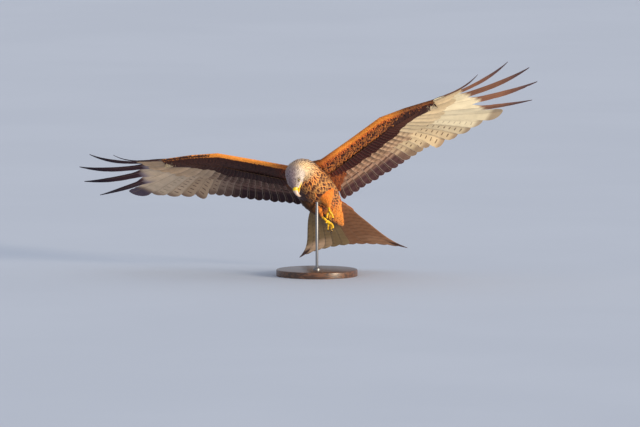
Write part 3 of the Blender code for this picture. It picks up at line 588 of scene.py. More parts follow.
HEAD_GREY = seen(230, 214, 198)
CROWN_GREY_AND_SHADE = seen(160, 138, 146)
EYE_SHADE = seen(70, 56, 50)
HACKLE_CREAM = seen(240, 206, 156)
BREAST = seen(238, 138, 56)
BELLY = seen(224, 108, 38)
THIGH_ORANGE = seen(242, 138, 44)
BACK = seen(92, 60, 42)
FLANK = seen(170, 78, 38)
# FLANK_SHADE is painted shade for the bird's right flank.
FLANK_SHADE = np.array((0.075, 0.12, 0.42))
DARK_STREAK = seen(72, 34, 26)
WING_ORANGE = seen(214, 118, 50)
WING_DARK = seen(52, 30, 28)
WING_TOP = seen(132, 84, 52)


def mix(first, second, share):
    """Rows of colours a share of the way from the first to the second."""
    share = np.asarray(share, float)[..., None]
    return first + (second - first) * share


def flank_shade(along, angle):
    """What the colours of the right flank are multiplied by: it is the bird's shaded side."""
    shaded = soft(-np.cos(angle), 0.02, 0.30) * soft(np.sin(angle), 0.2, -0.4)
    shaded = shaded * soft(along - NECK_END, -0.02, 0.04)
    return 1 + (FLANK_SHADE - 1) * (shaded * (1 - 0.25 * soft(along, RUMP, 0.05)))[..., None]


def eye_socket(along, angle):
    """How near a place is to the eye: one on an oval round it, eased to nought outside."""
    height = np.arctan2(np.sin(angle), np.abs(np.cos(angle)))
    away = np.hypot((along - 0.0200) / 0.0076, (height - 0.24) / 0.22)
    return soft(away, 1.5, -0.7)


def body_colour(along, angle):
    """Ground colour on the body tube, by the distance along it and the angle round it."""
    lift = np.sin(angle)
    # The top of the head is darker: partly the crown's own grey, partly painted shade.
    head = mix(HEAD_GREY, CROWN_GREY_AND_SHADE, soft(lift, 0.38, 0.55))
    # Round the eye the head turns dark: partly dark feathers, partly painted shade in the sunk socket.
    head = mix(head, EYE_SHADE, 0.75 * eye_socket(along, angle))
    neck = mix(HACKLE_CREAM, CROWN_GREY_AND_SHADE * 0.5 + HACKLE_CREAM * 0.3, soft(lift, 0.10, 0.70))
    chest = mix(BREAST, BACK, soft(lift, -0.15, 0.7))
    belly = mix(BELLY, BACK, soft(lift, -0.05, 0.5))
    rump = mix(THIGH_ORANGE, seen(176, 96, 52), soft(lift, -0.1, 0.4))
    colour = mix(head, neck, eased((along - HEAD_END * 0.62) / 0.030))
    hackles = HEAD_END + 0.022 + 0.024 * eased(lift + 1.0)
    colour = mix(colour, chest, eased((along - hackles) / 0.060))
    colour = mix(colour, belly, soft(along, NECK_END, 0.10))
    # The right flank carries painted shade.
    return mix(colour, rump, soft(along - RUMP, -0.05, 0.05)) * flank_shade(along, angle)


print("ground colour on the breast", np.round(body_colour(np.array(NECK_END), np.array(-1.5)), 3))

# %% [markdown]
# ## One skin under the coat
# Under its feathers a bird is one closed skin. The body, both arms and both thighs are made
# as closed tubes that overlap, a few millimetres inside the solids, as deep as the coat
# lies. A voxel remesh melts them into one surface, and a little smoothing rounds the joins,
# so no seam can show between the feathers. It stands for all the nodes of flesh.

# %% Closed tubes for the skin
COAT_HEAD, COAT_BODY, COAT_WING, COAT_THIGH = 0.0022, 0.0060, 0.0030, 0.0050
BODY_DEPTHS = (0.0002, COAT_HEAD, 0.004, COAT_BODY, 0.004, 0.001)
SKIN_VOXEL, SMOOTH_ROUNDS = 0.0026, 6


def closed_tube(rings):
    """Points and faces of a skin over rings of points, with a fan to the middle of each end."""
    count, sides, _ = rings.shape
    ends = np.stack([rings[0].mean(0), rings[-1].mean(0)])
    points = np.concatenate([rings.reshape(-1, 3), ends])
    side = np.arange(sides)
    after = (side + 1) % sides
    last = (count - 1) * sides
    first_fan = layers(after, side, count * sides)
    last_fan = layers(last + side, last + after, count * sides + 1)
    return points, outward(points, [ring_faces(count, sides), np.concatenate([first_fan, last_fan])])


def skin_tubes():
    """The five overlapping tubes: body, arms and thighs, each a coat's depth inside the solid."""
    def tube_grid(start, end, rings, sides):
        """Even places along the tube and even angles round it."""
        return np.meshgrid(np.linspace(start, end, rings), turns(sides), indexing="ij")

    along, angle = tube_grid(0.0, BODY_LENGTH, 130, 48)
    keys = (0, 0.02, HEAD_END, NECK_END, BODY_LENGTH - 0.05, BODY_LENGTH)
    tubes = [closed_tube(body_point(along, angle, -np.interp(along, keys, BODY_DEPTHS)))]
    left, angle = tube_grid(0.012, CORE_LEFT[-1] - 0.004, 60, 32)
    share, turn = tube_grid(0.0, 0.98, 30, 28)
    for side in SIDES.values():
        depth = np.interp(1 - np.cos(angle), (0, 0.10, 0.50), (-0.0004, 0.0012, COAT_WING))
        tubes.append(closed_tube(mirrored(core_point(left, angle, -depth), side)))
        depth = np.interp(share, (0, 0.3, 0.8, 1.0), (0.002, COAT_THIGH, 0.004, 0.0022))
        tubes.append(closed_tube(thigh_point(side, share, turn, -depth)))
    return tubes


def joined(pieces):
    """Several closed surfaces as one set of points and faces."""
    firsts = np.cumsum([0] + [len(points) for points, _ in pieces])
    faces = [group + first for (_, groups), first in zip(pieces, firsts) for group in groups]
    return np.concatenate([points for points, _ in pieces]), faces


def melted(tubes, voxel, rounds):
    """The outer surface of overlapping closed tubes, by a voxel remesh and some smoothing."""
    mesh = bpy.data.meshes.new("melt")
    points, faces = joined(tubes)
    faces = [face for group in faces for face in group.tolist()]
    mesh.from_pydata(to_world(points).tolist(), [], faces)
    melt = placed("melt", mesh)
    remesh = melt.modifiers.new("remesh", "REMESH")
    remesh.mode = "VOXEL"
    remesh.voxel_size = voxel
    smooth = melt.modifiers.new("smooth", "SMOOTH")
    smooth.factor = 0.5
    smooth.iterations = rounds
    graph = bpy.context.evaluated_depsgraph_get()
    result = melt.evaluated_get(graph).to_mesh()
    points = np.zeros(len(result.vertices) * 3)
    result.vertices.foreach_get("co", points)
    corners = np.zeros(len(result.loops), np.int32)
    result.loops.foreach_get("vertex_index", corners)
    melt.evaluated_get(graph).to_mesh_clear()
    bpy.data.objects.remove(melt)
    return points.reshape(-1, 3), corners.reshape(-1, 4)


skin_points, skin_faces = melted(skin_tubes(), SKIN_VOXEL, SMOOTH_ROUNDS)
print("skin", len(skin_points), "points")

# %% [markdown]
# ## The skin's finish and map
# Little of the skin shows, only dark gaps between feathers. It carries the coat's colours,
# darker, because down lies in shade. Its map is an unwrap of its own shape: the angle round
# the body's middle line, and the distance along the bird, with the arms laid beside.

# %% Make the skin
def bird_axes(points):
    """World points back in the bird's own axes."""
    return (np.asarray(points) - SHOULDERS) @ TURN.T


def on_body(points):
    """Distance along the body tube, and angle round it, of the nearest section to each point."""
    nearest = np.zeros(len(points), int)
    best = np.full(len(points), 1e9)
    for row in range(0, TABLE_ROWS, 2):
        gap = ((points - BODY[row, :3]) ** 2).sum(1)
        nearer = gap < best
        nearest[nearer], best[nearer] = row, gap[nearer]
    offset = points - BODY[nearest, :3]
    side = (offset * BODY[nearest, 3:6]).sum(1)
    rise = (offset * BODY[nearest, 6:9]).sum(1)
    return BODY_ALONG[nearest], np.arctan2(rise, side)


def atlas(part, across, along):
    """Places on the coat's unwrap: each part has its own tile of a 4 by 2 sheet."""
    column, row = part % 4, part // 4
    return layers((column + 0.04 + 0.92 * across) / 4, (row + 0.04 + 0.92 * along) / 2)


bird = bird_axes(skin_points)
along, angle = on_body(bird)
forward, left, up = bird[:, 0], np.abs(bird[:, 1]), bird[:, 2]
arm = soft(left, 0.068, 0.02)
upness = eased((up - np.interp(left, CORE_LEFT, CORE_UP) + 0.006) / 0.008)
behind_edge = np.interp(left, CORE_LEFT, CORE_FORWARD) - forward
arm_colour = mix(mix(WING_ORANGE, WING_TOP, upness), WING_DARK, soft(behind_edge, 0.015, 0.03))
darker = 0.45 + 0.45 * arm * (1 - soft(behind_edge, 0.002, 0.010))
skin_colour = mix(body_colour(along, angle), arm_colour, arm) * darker[:, None]
body_uv = atlas(0, angle / (2 * math.pi) + 0.5, along / BODY_LENGTH)
span = np.clip((left - 0.06) / 0.46, 0, 1)
arm_uv = atlas(1, span * 0.5 + 0.5 * (bird[:, 1] < 0), np.clip(0.5 - forward / 0.3, 0, 1))
skin_uv = np.where((arm > 0.5)[:, None], arm_uv, body_uv)

look = Look("skin_and_down", 0.8)
down = look.noise(400.0, 4.0)
shade = look.blend(look.ramp(down, 0.3, 0.7), (0.55, 0.55, 0.55), (1.1, 1.1, 1.1))
colour = look.blend(1.0, look.attribute("ground"), shade, "MULTIPLY")
skin_finish = look.done(colour, down, 0.5, 0.0008)
flesh = ("torso", "neck", "head", "leg_left", "leg_right")
faces = outward(skin_points, [skin_faces])
add_piece("skin", skin_points, faces, [skin_finish], "plumage", flesh, {"ground": skin_colour}, skin_uv)

# %% [markdown]
# ## One small feather, many times
# A body feather is a thin leaf: a quill down the middle, two webs, and a soft round or
# pointed end. Here it is a closed lens of about thirty triangles. Its quill is a short path
# laid on the surface that it grows from, so that it bends with the body. Its root is sunk in the
# coat and its tip rises a little, so that each one lies over the next, as tiles do. All the
# feathers of a batch are worked out at once, as one array of paths.

# %% Grow feathers on a surface
ROUND_FEATHER = (0.0, 0.28, 0.60, 0.86), (0.40, 0.90, 1.00, 0.68)
LONG_FEATHER = (0.0, 0.26, 0.55, 0.82), (0.50, 1.00, 0.82, 0.42)
BROAD_FEATHER = (0.0, 0.20, 0.45, 0.70, 0.88, 0.97), (0.40, 0.82, 1.00, 0.97, 0.74, 0.38)
PROBE = 1e-4
LEAF_CAMBER, LEAF_THICK = 0.16, 0.00035


def leaf_faces(rows):
    """Corners of one closed leaf: four points a row, left, right, top and bottom, then the tip."""
    sides = np.array(((2, 6, 4, 0), (2, 1, 5, 6), (3, 0, 4, 7), (3, 7, 5, 1)))
    quads = (np.arange(rows - 1)[:, None, None] * 4 + sides).reshape(-1, 4)
    triangles = rows * 4 - 4 + np.array(((2, 4, 0), (2, 1, 4), (3, 0, 4), (3, 4, 1)))
    return np.concatenate([[(0, 3, 1, 2)], quads]), triangles


def repeated(groups, count, size):
    """The faces of one shape of size points, given to count copies of it."""
    offset = (np.arange(count) * size)[:, None, None]
    return [(group + offset).reshape(-1, group.shape[1]) for group in groups]


def grow(surface, roots, runs, sunk, raised, half, profile, colours, pattern, tile, side=1):
    """Feathers rooted at surface(u, v), each with its quill run over the surface.

    A quill's point at share t is surface(u + u_run t, v + v_run t, out), where out goes from
    -sunk to raised. The webs stand half the width times the profile to both sides of it and
    droop by the camber. The colours are ground, mark and edge, the pattern streak and fringe.
    Where side is -1, all is mirrored to the right wing.
    """
    count = len(roots[0])
    shape, wide = np.array(profile)
    share = np.append(shape, 1.0)
    numbers = (*roots, *runs, sunk, raised, half)
    u, v, u_run, v_run, sunk, raised, half = (np.broadcast_to(n, count)[:, None] for n in numbers)
    u, v = u + u_run * share, v + v_run * share
    out = -sunk + (sunk + raised) * share**0.8
    quill = surface(u, v, out)
    along_u = surface(u + PROBE, v, out) - surface(u - PROBE, v, out)
    along_v = surface(u, v + PROBE * 10, out) - surface(u, v - PROBE * 10, out)
    run = unit(np.gradient(quill, axis=1))
    across = unit(np.cross(unit(np.cross(along_u, along_v)), run))
    normal = np.cross(run, across)[:, :-1]
    width = half[..., None] * wide[:, None]
    base, web = quill[:, :-1], across[:, :-1] * width
    droop = normal * width * LEAF_CAMBER
    top, bottom = base + normal * LEAF_THICK, base - normal * LEAF_THICK * 0.6
    rows = np.stack([base + web - droop, base - web - droop, top, bottom], 2)
    points = np.concatenate([rows.reshape(count, -1, 3), quill[:, -1:]], 1)
    size = points.shape[1]
    lay = np.zeros((count, size, 3))
    lay[:, :-1, 0] = np.tile((-1.0, 1.0, 0.0, 0.0), len(shape))
    lay[:, :, 1] = np.append(np.repeat(shape, 4), 1.0)
    lay[:, :, 2] = chance.random(count)[:, None]
    carried = dict(zip(("ground", "mark", "edge"), colours), at_pattern=layers(*pattern, 0))
    for label, value in carried.items():
        carried[label] = np.repeat(np.broadcast_to(value, (count, 3)), size, 0)
    carried["at_lay"] = lay.reshape(-1, 3)
    places = (tile[:, None] + lay[:, :, :2] * (0.0012, 0.0024)).reshape(-1, 2)
    points = mirrored(points.reshape(-1, 3), side)
    faces = outward(points, repeated(leaf_faces(len(shape)), count, size))
    return {"points": points, "faces": faces, "carried": carried, "map": places}


def add_batches(name, batches, finishes, slot, replaces=()):
    """Joins batches of feathers into one mesh object and brings it to its place in the world."""
    def gathered(rows):
        """All rows in one array."""
        return np.concatenate(list(rows))

    firsts = np.cumsum([0] + [len(batch["points"]) for batch in batches])
    groups = [group + first for batch, first in zip(batches, firsts) for group in batch["faces"]]
    points = to_world(gathered(batch["points"] for batch in batches))
    labels = batches[0]["carried"]
    carried = {label: gathered(batch["carried"][label] for batch in batches) for label in labels}
    places = gathered(batch["map"] for batch in batches)
    slots = gathered(batch["slots"] for batch in batches) if len(finishes) > 1 else None
    return add_piece(name, points, groups, finishes, slot, replaces, carried, places, slots)


# %% [markdown]
# ## The finish of small feathers
# Every small feather has a ground colour, often a darker streak down its quill, and often a
# paler fringe where the soft barbs end. Each feather carries its own three colours, and the
# place of every point on it: how far across and how far along. The graph draws the streak
# and the fringe from that place. Fine slanted lines, in colour and bump, are the barbs.

# %% Finish of small feathers
def coat_finish():
    """Ground, streak by width from the quill, fringe at sides and tip, then barbs and mottling.

    The barbs are a sine of the distance along, less a part of the distance from the quill.
    """
    look = Look("small_feathers", 0.62, Sheen_Weight=0.12, Sheen_Roughness=0.4, Specular_IOR_Level=0.25)
    lay, pattern, across = look.feather()
    place = look.math("ADD", across, look.line(look.noise(900.0, 2.0), 0.30, -0.15))
    taper = look.times(pattern[0], look.ramp(lay[1], 1.03, 0.88))
    inside = look.math("SUBTRACT", taper, place)
    streak = look.times(look.ramp(inside, -0.10, 0.10), look.ramp(pattern[0], 0.0, 0.08))
    colour = look.blend(streak, look.attribute("ground"), look.attribute("mark"))
    rim = look.math("MAXIMUM", place, look.times(lay[1], 0.98))
    fringe = look.times(look.ramp(rim, 0.62, 0.98), pattern[1])
    colour = look.blend(fringe, colour, look.attribute("edge"))
    slant = look.line(across, -0.35, lay[1])
    barbs = look.line(look.math("SINE", look.times(slant, 95.0)), 0.5, 0.5)
    mottle = look.line(barbs, 0.14, look.line(look.noise(140.0, 4.0), 0.5, 0.66))
    return look.done(look.toned(colour, mottle), barbs, 0.35, 0.0004)


SMALL_FEATHERS = [coat_finish()]

# %% [markdown]
# ## The coat of head, neck and body
# Feathers grow in rows round the tube, each row set off by half a feather. They are tiny at
# the bill, longer and pointed on the neck, where they are called hackles, and round on the
# breast and back. The size, the streak and the fringe are smooth functions of the place.
# Dark streaks are thin on the head and broad on the breast, and the back's are broad dark
# centres with rufous edges.

# %% Rows of feathers on the body
DEPTH_KEYS = (0, 0.02, HEAD_END, NECK_END, RUMP)
RAISED = (0.0004, 0.0008, 0.0016, 0.0012, 0.0018)
SUNK = (0.0003, 0.0012, 0.0030, 0.0042, 0.0042)


def rows_of_roots(start, end, gaps):
    """Roots in staggered rings: each ring's count is its girth over the gap wanted there."""
    ring, roots = start, []
    while ring < end:
        row_gap, side_gap = gaps(ring)
        loop = body_point(np.full(25, ring), np.linspace(0, 2 * math.pi, 25))
        girth = np.linalg.norm(np.diff(loop, axis=0), axis=1).sum()
        count = max(int(girth / side_gap), 5)
        angle = (np.arange(count) + 0.5 * (len(roots) % 2)) * 2 * math.pi / count
        roots.append(np.stack([np.full(count, ring), angle - math.pi]))
        ring += row_gap
    return np.concatenate(roots, axis=1)


def vary(count, amount):
    """Random factors that differ from one by no more than the amount."""
    return 1 + chance.uniform(-amount, amount, count)


def body_looks(along, angle):
    """Colours and pattern of the body's feathers, by the place of each one's root."""
    count = len(along)
    upper = soft(np.sin(angle), -0.05, 0.5)
    trunk = soft(along - HEAD_END, 0.02, 0.05)
    on_head = 1 - eased((along - HEAD_END * 0.75) / 0.02)
    ground = body_colour(along, angle) * vary(count, 0.14)[:, None]
    mark = mix(seen(82, 42, 30), seen(88, 62, 64), on_head)
    mark = mix(mark, mix(DARK_STREAK, seen(44, 30, 25), upper), trunk)
    edge = mix(HACKLE_CREAM, seen(246, 238, 226), on_head)
    edge = mix(edge, mix(seen(248, 182, 104), seen(164, 98, 56), upper), trunk)
    # Pale fringes fade on the top of the head, and round the eye so that they do not lighten its dark, which
    # is partly painted shade.
    edge = mix(edge, ground, on_head * np.maximum(0.5 * upper, 0.8 * eye_socket(along, angle)))
    breast = soft(along - HEAD_END, 0.06, 0.05) * (1 - soft(along - NECK_END, 0.09, 0.08))
    breast = breast * (1 - upper)
    streak = 0.14 + on_head * (0.16 + 0.20 * upper) + 0.28 * soft(along - HEAD_END, -0.01, 0.03)
    streak = (streak + 0.40 * breast + upper * trunk * 0.30) * vary(count, 0.30)
    streak = streak * np.where(along > RUMP - 0.03, 0.4, 1.0)
    fringe = (0.40 + 0.10 * trunk) * vary(count, 0.4)
    # The fringes of the right flank carry the same painted shade.
    return (ground, mark, edge * flank_shade(along, angle)), (streak, fringe)


def body_coat(start, end, keys, table, profile, longer_above=0.0):
    """A batch of feathers between two places along the body.

    The rows of the table are the gap from row to row, the gap in a row, the length and the
    half width, each at the places called keys.
    """
    def at(place):
        """Each row of the table at a place between its keys."""
        return [np.interp(place, keys, row) for row in table]

    along, angle = rows_of_roots(start, end, lambda ring: at(ring)[:2])
    count = len(along)
    along = along + chance.uniform(-0.3, 0.3, count) * at(along)[0]
    angle = angle + chance.uniform(-0.25, 0.25, count) * at(along)[1] / 0.05
    along = np.clip(along, 0.0, BODY_LENGTH - 0.002)
    length, half = at(along)[2:]
    length = length * (1 + longer_above * (np.sin(angle) > 0)) * vary(count, 0.16)
    step = 0.004
    stretch = np.linalg.norm(body_point(along + step, angle) - body_point(along, angle), axis=1) / step
    run = np.minimum(length / np.clip(stretch, 0.45, 2.2), 0.05)
    turn = chance.normal(0.0, 0.10, count) * length / 0.05
    colours, pattern = body_looks(along, angle)
    raised = np.interp(along, DEPTH_KEYS, RAISED) + length * 0.03 * chance.random(count)
    sunk = np.interp(along, DEPTH_KEYS, SUNK)
    tile = atlas(0, (angle / (2 * math.pi)) % 1.0, along / BODY_LENGTH)
    roots, runs = (along, angle), (run, turn)
    return grow(body_point, roots, runs, sunk, raised, half, profile, colours, pattern, tile)


NAPE, CHEST, VENT, VENT_END = HEAD_END - 0.004, NECK_END - 0.02, RUMP - 0.01, BODY_LENGTH - 0.028
HEAD_TABLE = (
    (0.0013, 0.0021, 0.0036, 0.0064), (0.0013, 0.0020, 0.0032, 0.0052),
    (0.0032, 0.0064, 0.0125, 0.0215), (0.0008, 0.0012, 0.0021, 0.0033),
)
NECK_TABLE = (
    (0.0064, 0.0100, 0.0125), (0.0052, 0.0082, 0.0112),
    (0.022, 0.033, 0.042), (0.0034, 0.0054, 0.0084),
)
TRUNK_TABLE = (
    (0.0130, 0.0142, 0.0130), (0.0118, 0.0126, 0.0120),
    (0.043, 0.047, 0.046), (0.0094, 0.0100, 0.0096),
)
VENT_TABLE = (
    (0.0105, 0.0110, 0.0110), (0.0090, 0.0085, 0.0060),
    (0.046, 0.048, 0.034), (0.0084, 0.0078, 0.0040),
)
head_and_neck = [
    body_coat(0.0, NAPE, (0.0, 0.012, 0.035, HEAD_END), HEAD_TABLE, LONG_FEATHER),
    body_coat(NAPE, CHEST, (NAPE, HEAD_END + 0.03, NECK_END), NECK_TABLE, LONG_FEATHER),
]
body = [
    body_coat(CHEST, VENT, (CHEST, NECK_END + 0.08, RUMP - 0.02), TRUNK_TABLE, ROUND_FEATHER, 0.08),
    body_coat(VENT, VENT_END, (VENT, RUMP + 0.07, BODY_LENGTH), VENT_TABLE, LONG_FEATHER),
]
add_batches("coat_head_and_neck", head_and_neck, SMALL_FEATHERS, "head_plumage")
add_batches("coat_body", body, SMALL_FEATHERS, "plumage")

# %% [markdown]
# ## Thigh feathers
# A kite's thighs wear loose trousers of long soft orange feathers. They grow round the
# drumstick in staggered rings and hang along it towards the foot, past the ankle's top.

# %% Thigh feathers
THIGH_ROWS, THIGH_COLUMNS = 22, 30


def thigh_coat(side):
    """Rings of feathers on one thigh, from hip to ankle, longest in the middle."""
    shares = np.linspace(0.04, 0.86, THIGH_ROWS)
    share, angle = np.meshgrid(shares, turns(THIGH_COLUMNS), indexing="ij")
    angle = angle + (np.arange(THIGH_ROWS) % 2)[:, None] * math.pi / THIGH_COLUMNS
    share, angle = share.ravel(), angle.ravel()
    count = len(share)
    share = share + chance.uniform(-0.02, 0.02, count)
    angle = angle + chance.uniform(-0.08, 0.08, count)
    length = np.interp(share, (0, 0.4, 0.86), (0.026, 0.034, 0.020)) * vary(count, 0.15)
    ground = mix(THIGH_ORANGE, BELLY, eased(0.5 - share)) * vary(count, 0.14)[:, None]
    # The right thigh is darkened by painted shade, and its pale fringes fade there.
    shaded = soft(np.cos(angle), 0.95, -0.6) * (1.0 - 0.1 * share) * (side < 0)
    ground = mix(ground, ground * FLANK_SHADE, shaded)
    colours = ground, mix(ground, DARK_STREAK, 0.6), mix(ground, seen(246, 176, 90), 0.3 * (1 - shaded))
    pattern = 0.16 * vary(count, 0.9), 0.5 * vary(count, 0.4)
    half = np.interp(share, (0, 0.4, 0.86), (0.0056, 0.0062, 0.0034))
    run = np.minimum(length / np.linalg.norm(ANKLES[side] - HIP), 1.06 - share)
    runs = run, chance.normal(0, 0.1, count)
    raised = 0.0018 + 0.002 * chance.random(count)
    tile = atlas(2 if side > 0 else 3, (angle / (2 * math.pi)) % 1.0, share)
    surface = lambda u, v, out: thigh_point(side, u, v, out)
    return grow(surface, (share, angle), runs, 0.0035, raised, half, LONG_FEATHER, colours, pattern, tile)


add_batches("coat_thighs", [thigh_coat(side) for side in SIDES.values()], SMALL_FEATHERS, "plumage")

# %% [markdown]
# ## Quills of the flight feathers
# Twenty-four large feathers make the sheet of each wing: fourteen secondaries along the
# arm and ten primaries on the hand, of which the outer five part like fingers. Every quill
# has a root, a tip and a bow, worked out from the same sizes as the solids. The web of each
# feather reaches towards the quill of its neighbour, so a web's edge is a point part of the
# way between two quills. Past its notch a finger is only as wide as its own narrow vane.

# %% Quills and webs
SECONDARIES, PRIMARIES, FINGERS = 14, 10, 5
FLIGHT_FEATHERS = SECONDARIES + PRIMARIES
FIRST_FINGER = FLIGHT_FEATHERS - FINGERS
INNER_SECONDARY = np.array(((-0.055, 0.080, -0.006), (-0.244, 0.064, -0.010)))
OUTER_SECONDARY = np.array(((0.022, 0.310, 0.064), (-0.143, 0.433, 0.067)))
PRIMARY_ROOTS = np.array(((0.030, 0.325, 0.066), (0.075, 0.495, 0.088)))
PRIMARY_LENGTH = np.array((0.244, 0.268, 0.289, 0.312, 0.366, 0.457, 0.464, 0.429, 0.346, 0.224))
PRIMARY_RISE = np.array((0.017, 0.024, 0.029, 0.036, 0.050, 0.060, 0.092, 0.109, 0.108, 0.055))
PRIMARY_FAN, PRIMARY_FAN_BULGE = (48.0, -10.5), 4.0
INNER_BOW, OUTER_BOW, LAST_BOW = 0.010, -0.026, -0.018
BOW_SCALE = 27 / 4
PAST_ENDS = 0.014
EDGE_CURVE = np.array((-0.002, 0.0, 0.0))
BODY_SIDE = ((-0.200, -0.142), (0.047, 0.0625))
FINGER_LENGTH = np.array((0.190, 0.232, 0.250, 0.210, 0.150))
FINGER_WIDTH, NOTCH_EASE = (0.0205, 0.0075), 0.05
FINGER_SLENDER = (1.05, 1.00, 1.00, 0.78, 0.72)
OUTER_WEB, INNER_WEB = 0.50, 0.85
VANE, COVERT_VANE, VANE_TILT, COVERT_TILT = 0.0007, 0.0006, 0.0010, 0.0008
COVERT_LENGTH, COVERT_LIFT = (0.080, 0.085, 0.100, 0.125), (0.0050, 0.0030)


def wing_quills():
    """Roots, tips and bows: secondaries on a straight line, primaries fanned about the hand."""
    share = (np.arange(SECONDARIES) / (SECONDARIES - 1))[:, None]
    roots, tips = (near + (far - near) * share for near, far in zip(INNER_SECONDARY, OUTER_SECONDARY))
    tips = tips + 4 * share * (1 - share) * EDGE_CURVE
    step = np.arange(PRIMARIES) / (PRIMARIES - 1)
    hand = PRIMARY_ROOTS[0] + (PRIMARY_ROOTS[1] - PRIMARY_ROOTS[0]) * step[:, None]
    fan = PRIMARY_FAN[0] + (PRIMARY_FAN[1] - PRIMARY_FAN[0]) * step
    fan = np.radians(fan + PRIMARY_FAN_BULGE * np.sin(math.pi * step))
    reach = layers(-np.sin(fan) * PRIMARY_LENGTH, np.cos(fan) * PRIMARY_LENGTH, PRIMARY_RISE)
    bows = np.append(np.full(SECONDARIES, INNER_BOW), INNER_BOW + (OUTER_BOW - INNER_BOW) * step**1.3)
    bows[-1] = LAST_BOW
    uneven = 1 + np.random.default_rng(7).uniform(-0.012, 0.012, FLIGHT_FEATHERS)
    uneven[-FINGERS:] = 1
    roots = np.concatenate([roots, hand])
    tips = np.concatenate([tips, hand + reach])
    return roots, roots + (tips - roots) * uneven[:, None], bows


ROOTS, TIPS, BOWS = wing_quills()
LENGTHS = np.linalg.norm(TIPS - ROOTS, axis=1)


def quill(index, distance):
    """Points on a quill: the line from root to tip, bowed by a cubic that is nought at both ends.

    The scale makes the cubic one at its highest. A number past the first or last feather
    gives a line beside that feather.
    """
    steps = np.arange(FLIGHT_FEATHERS)
    inside = min(max(index, 0.0), FLIGHT_FEATHERS - 1.0)
    root, tip = between(inside, steps, ROOTS), between(inside, steps, TIPS)
    share = (np.asarray(distance) / np.linalg.norm(tip - root))[:, None]
    line = root + (tip - root) * share
    line[:, 2] += (np.interp(inside, steps, BOWS) * BOW_SCALE * share**2 * (1 - share))[:, 0]
    line[:, 1] += min(index, 0.0) * PAST_ENDS
    line[:, 0] += max(index - FLIGHT_FEATHERS + 1.0, 0.0) * PAST_ENDS
    return line


def web_share(index, share, length, web):
    """How far a web reaches to the next quill. Past a finger's notch it eases to its own width."""
    finger = index - FIRST_FINGER
    if finger < 0:
        return np.full(len(share), web)
    from_tip, notch, inner = (1 - share) * length, FINGER_LENGTH[finger], web == INNER_WEB
    wide = FINGER_WIDTH[0 if inner else 1] * FINGER_SLENDER[finger]
    next_one = quill(index + (-1 if inner else 1), share * length)
    gap = np.linalg.norm(quill(index, share * length) - next_one, axis=1)
    narrow = wide * (0.62 + 0.38 * np.clip(from_tip / notch, 0, 1)) / gap
    opened = np.clip((from_tip - notch) / NOTCH_EASE, 0, 1)
    return np.minimum(web, narrow + np.clip(web - narrow, 0, None) * opened)


def round_tip(share, start):
    """What is left of a width near a round end: the height of a circle's quarter."""
    return np.sqrt(1 - 0.99 * np.clip((share - start) / (1 - start), 0, 1) ** 2)


def pointed_tip(share, start):
    """What is left of a width near a pointed end."""
    return 1 - 0.92 * np.clip((share - start) / (1 - start), 0, 1) ** 1.6


def wing_edges(index, step, along, outer, inner, lift, tilt):
    """Leading edge, quill and trailing edge: shares of the way to the next quills, then lifted."""
    middle = quill(index, along)
    lead = middle + (quill(index + step, along) - middle) * outer[:, None]
    trail = middle + (quill(index - step, along) - middle) * inner[:, None]
    for line, more in ((lead, tilt), (middle, 0.0), (trail, -tilt)):
        line[:, 2] += lift + more
    trail[:, 1] = np.maximum(trail[:, 1], np.interp(trail[:, 0], *BODY_SIDE))
    return np.stack([lead, middle, trail], 1)


def flight_edges(index, share):
    """The edges and the quill of one flight feather at shares of its length."""
    length = LENGTHS[index]
    tip = pointed_tip(share, 0.72) if index >= FIRST_FINGER else round_tip(share, 0.89)
    outer = web_share(index, share, length, OUTER_WEB) * tip
    inner = web_share(index, share, length, INNER_WEB) * tip
    return wing_edges(index, 1, share * length, outer, inner, 0.0, VANE_TILT)


def covert_edges(index, step, above, share, reach, start, lift):
    """The same for a covert on a quill: above is 1 over the wing and -1 below it."""
    along = start + share * (np.interp(index, (0, 10, 16, 22), COVERT_LENGTH) * reach)
    tip = round_tip(share, 0.62)
    lift = above * (lift + COVERT_LIFT[0] + (COVERT_LIFT[1] - COVERT_LIFT[0]) * share)
    return wing_edges(index, step, along, OUTER_WEB * tip, INNER_WEB * tip, lift, COVERT_TILT)


print("longest primary", round(LENGTHS.max(), 3), "m, innermost secondary", round(LENGTHS[0], 3), "m")

# %% [markdown]
# ## A large vane
# A flight feather is a flat lens on a stiff quill. Its grid has rows along and columns
# across. Both faces share their edge points, so the vane is closed and has no thickness at
# its rim. The quill stands out as a thin ridge, most on the underside. The barbs of a real
# vane part here and there, so the rim is pulled in by small random notches.

# %% Vanes from edges
VANE_COLUMNS = np.array((-1.0, -0.86, -0.62, -0.34, -0.07, 0.0, 0.09, 0.45, 0.80, 1.0))


def vane_shares(rows):
    """Shares of a feather's length, closer together near its tip."""
    return 1 - (1 - np.linspace(0, 1, rows)) ** 1.5


def vane_faces(rows, columns):
    """Quads and triangles of one vane, and the finish of each: 0 above and 1 below.

    The two faces share the points of the sides. A strip with a triangle at each of its ends
    closes the root, and another one closes the tip.
    """
    upper = np.arange(rows * columns).reshape(rows, columns)
    lower = upper.copy()
    lower[:, 1:-1] = rows * columns + np.arange(rows * (columns - 2)).reshape(rows, columns - 2)
    faces = []
    for grid, flip in ((upper, 1), (lower, -1)):
        after = (grid[:-1, 1:], grid[1:, 1:], grid[1:, :-1])[::flip]
        faces.append(layers(grid[:-1, :-1], *after).reshape(-1, 4))
    corners = []
    for row, flip in ((0, 1), (rows - 1, -1)):
        top, under = upper[row], lower[row]
        faces.append(layers(top[1:-2], under[1:-2], under[2:-1], top[2:-1])[:, ::flip])
        corners += [(top[0], under[1], top[1])[::flip], (top[-1], top[-2], under[-2])[::flip]]
    slots = np.concatenate([np.full(len(group), k == 1) for k, group in enumerate(faces)])
    return np.concatenate(faces), np.array(corners), slots


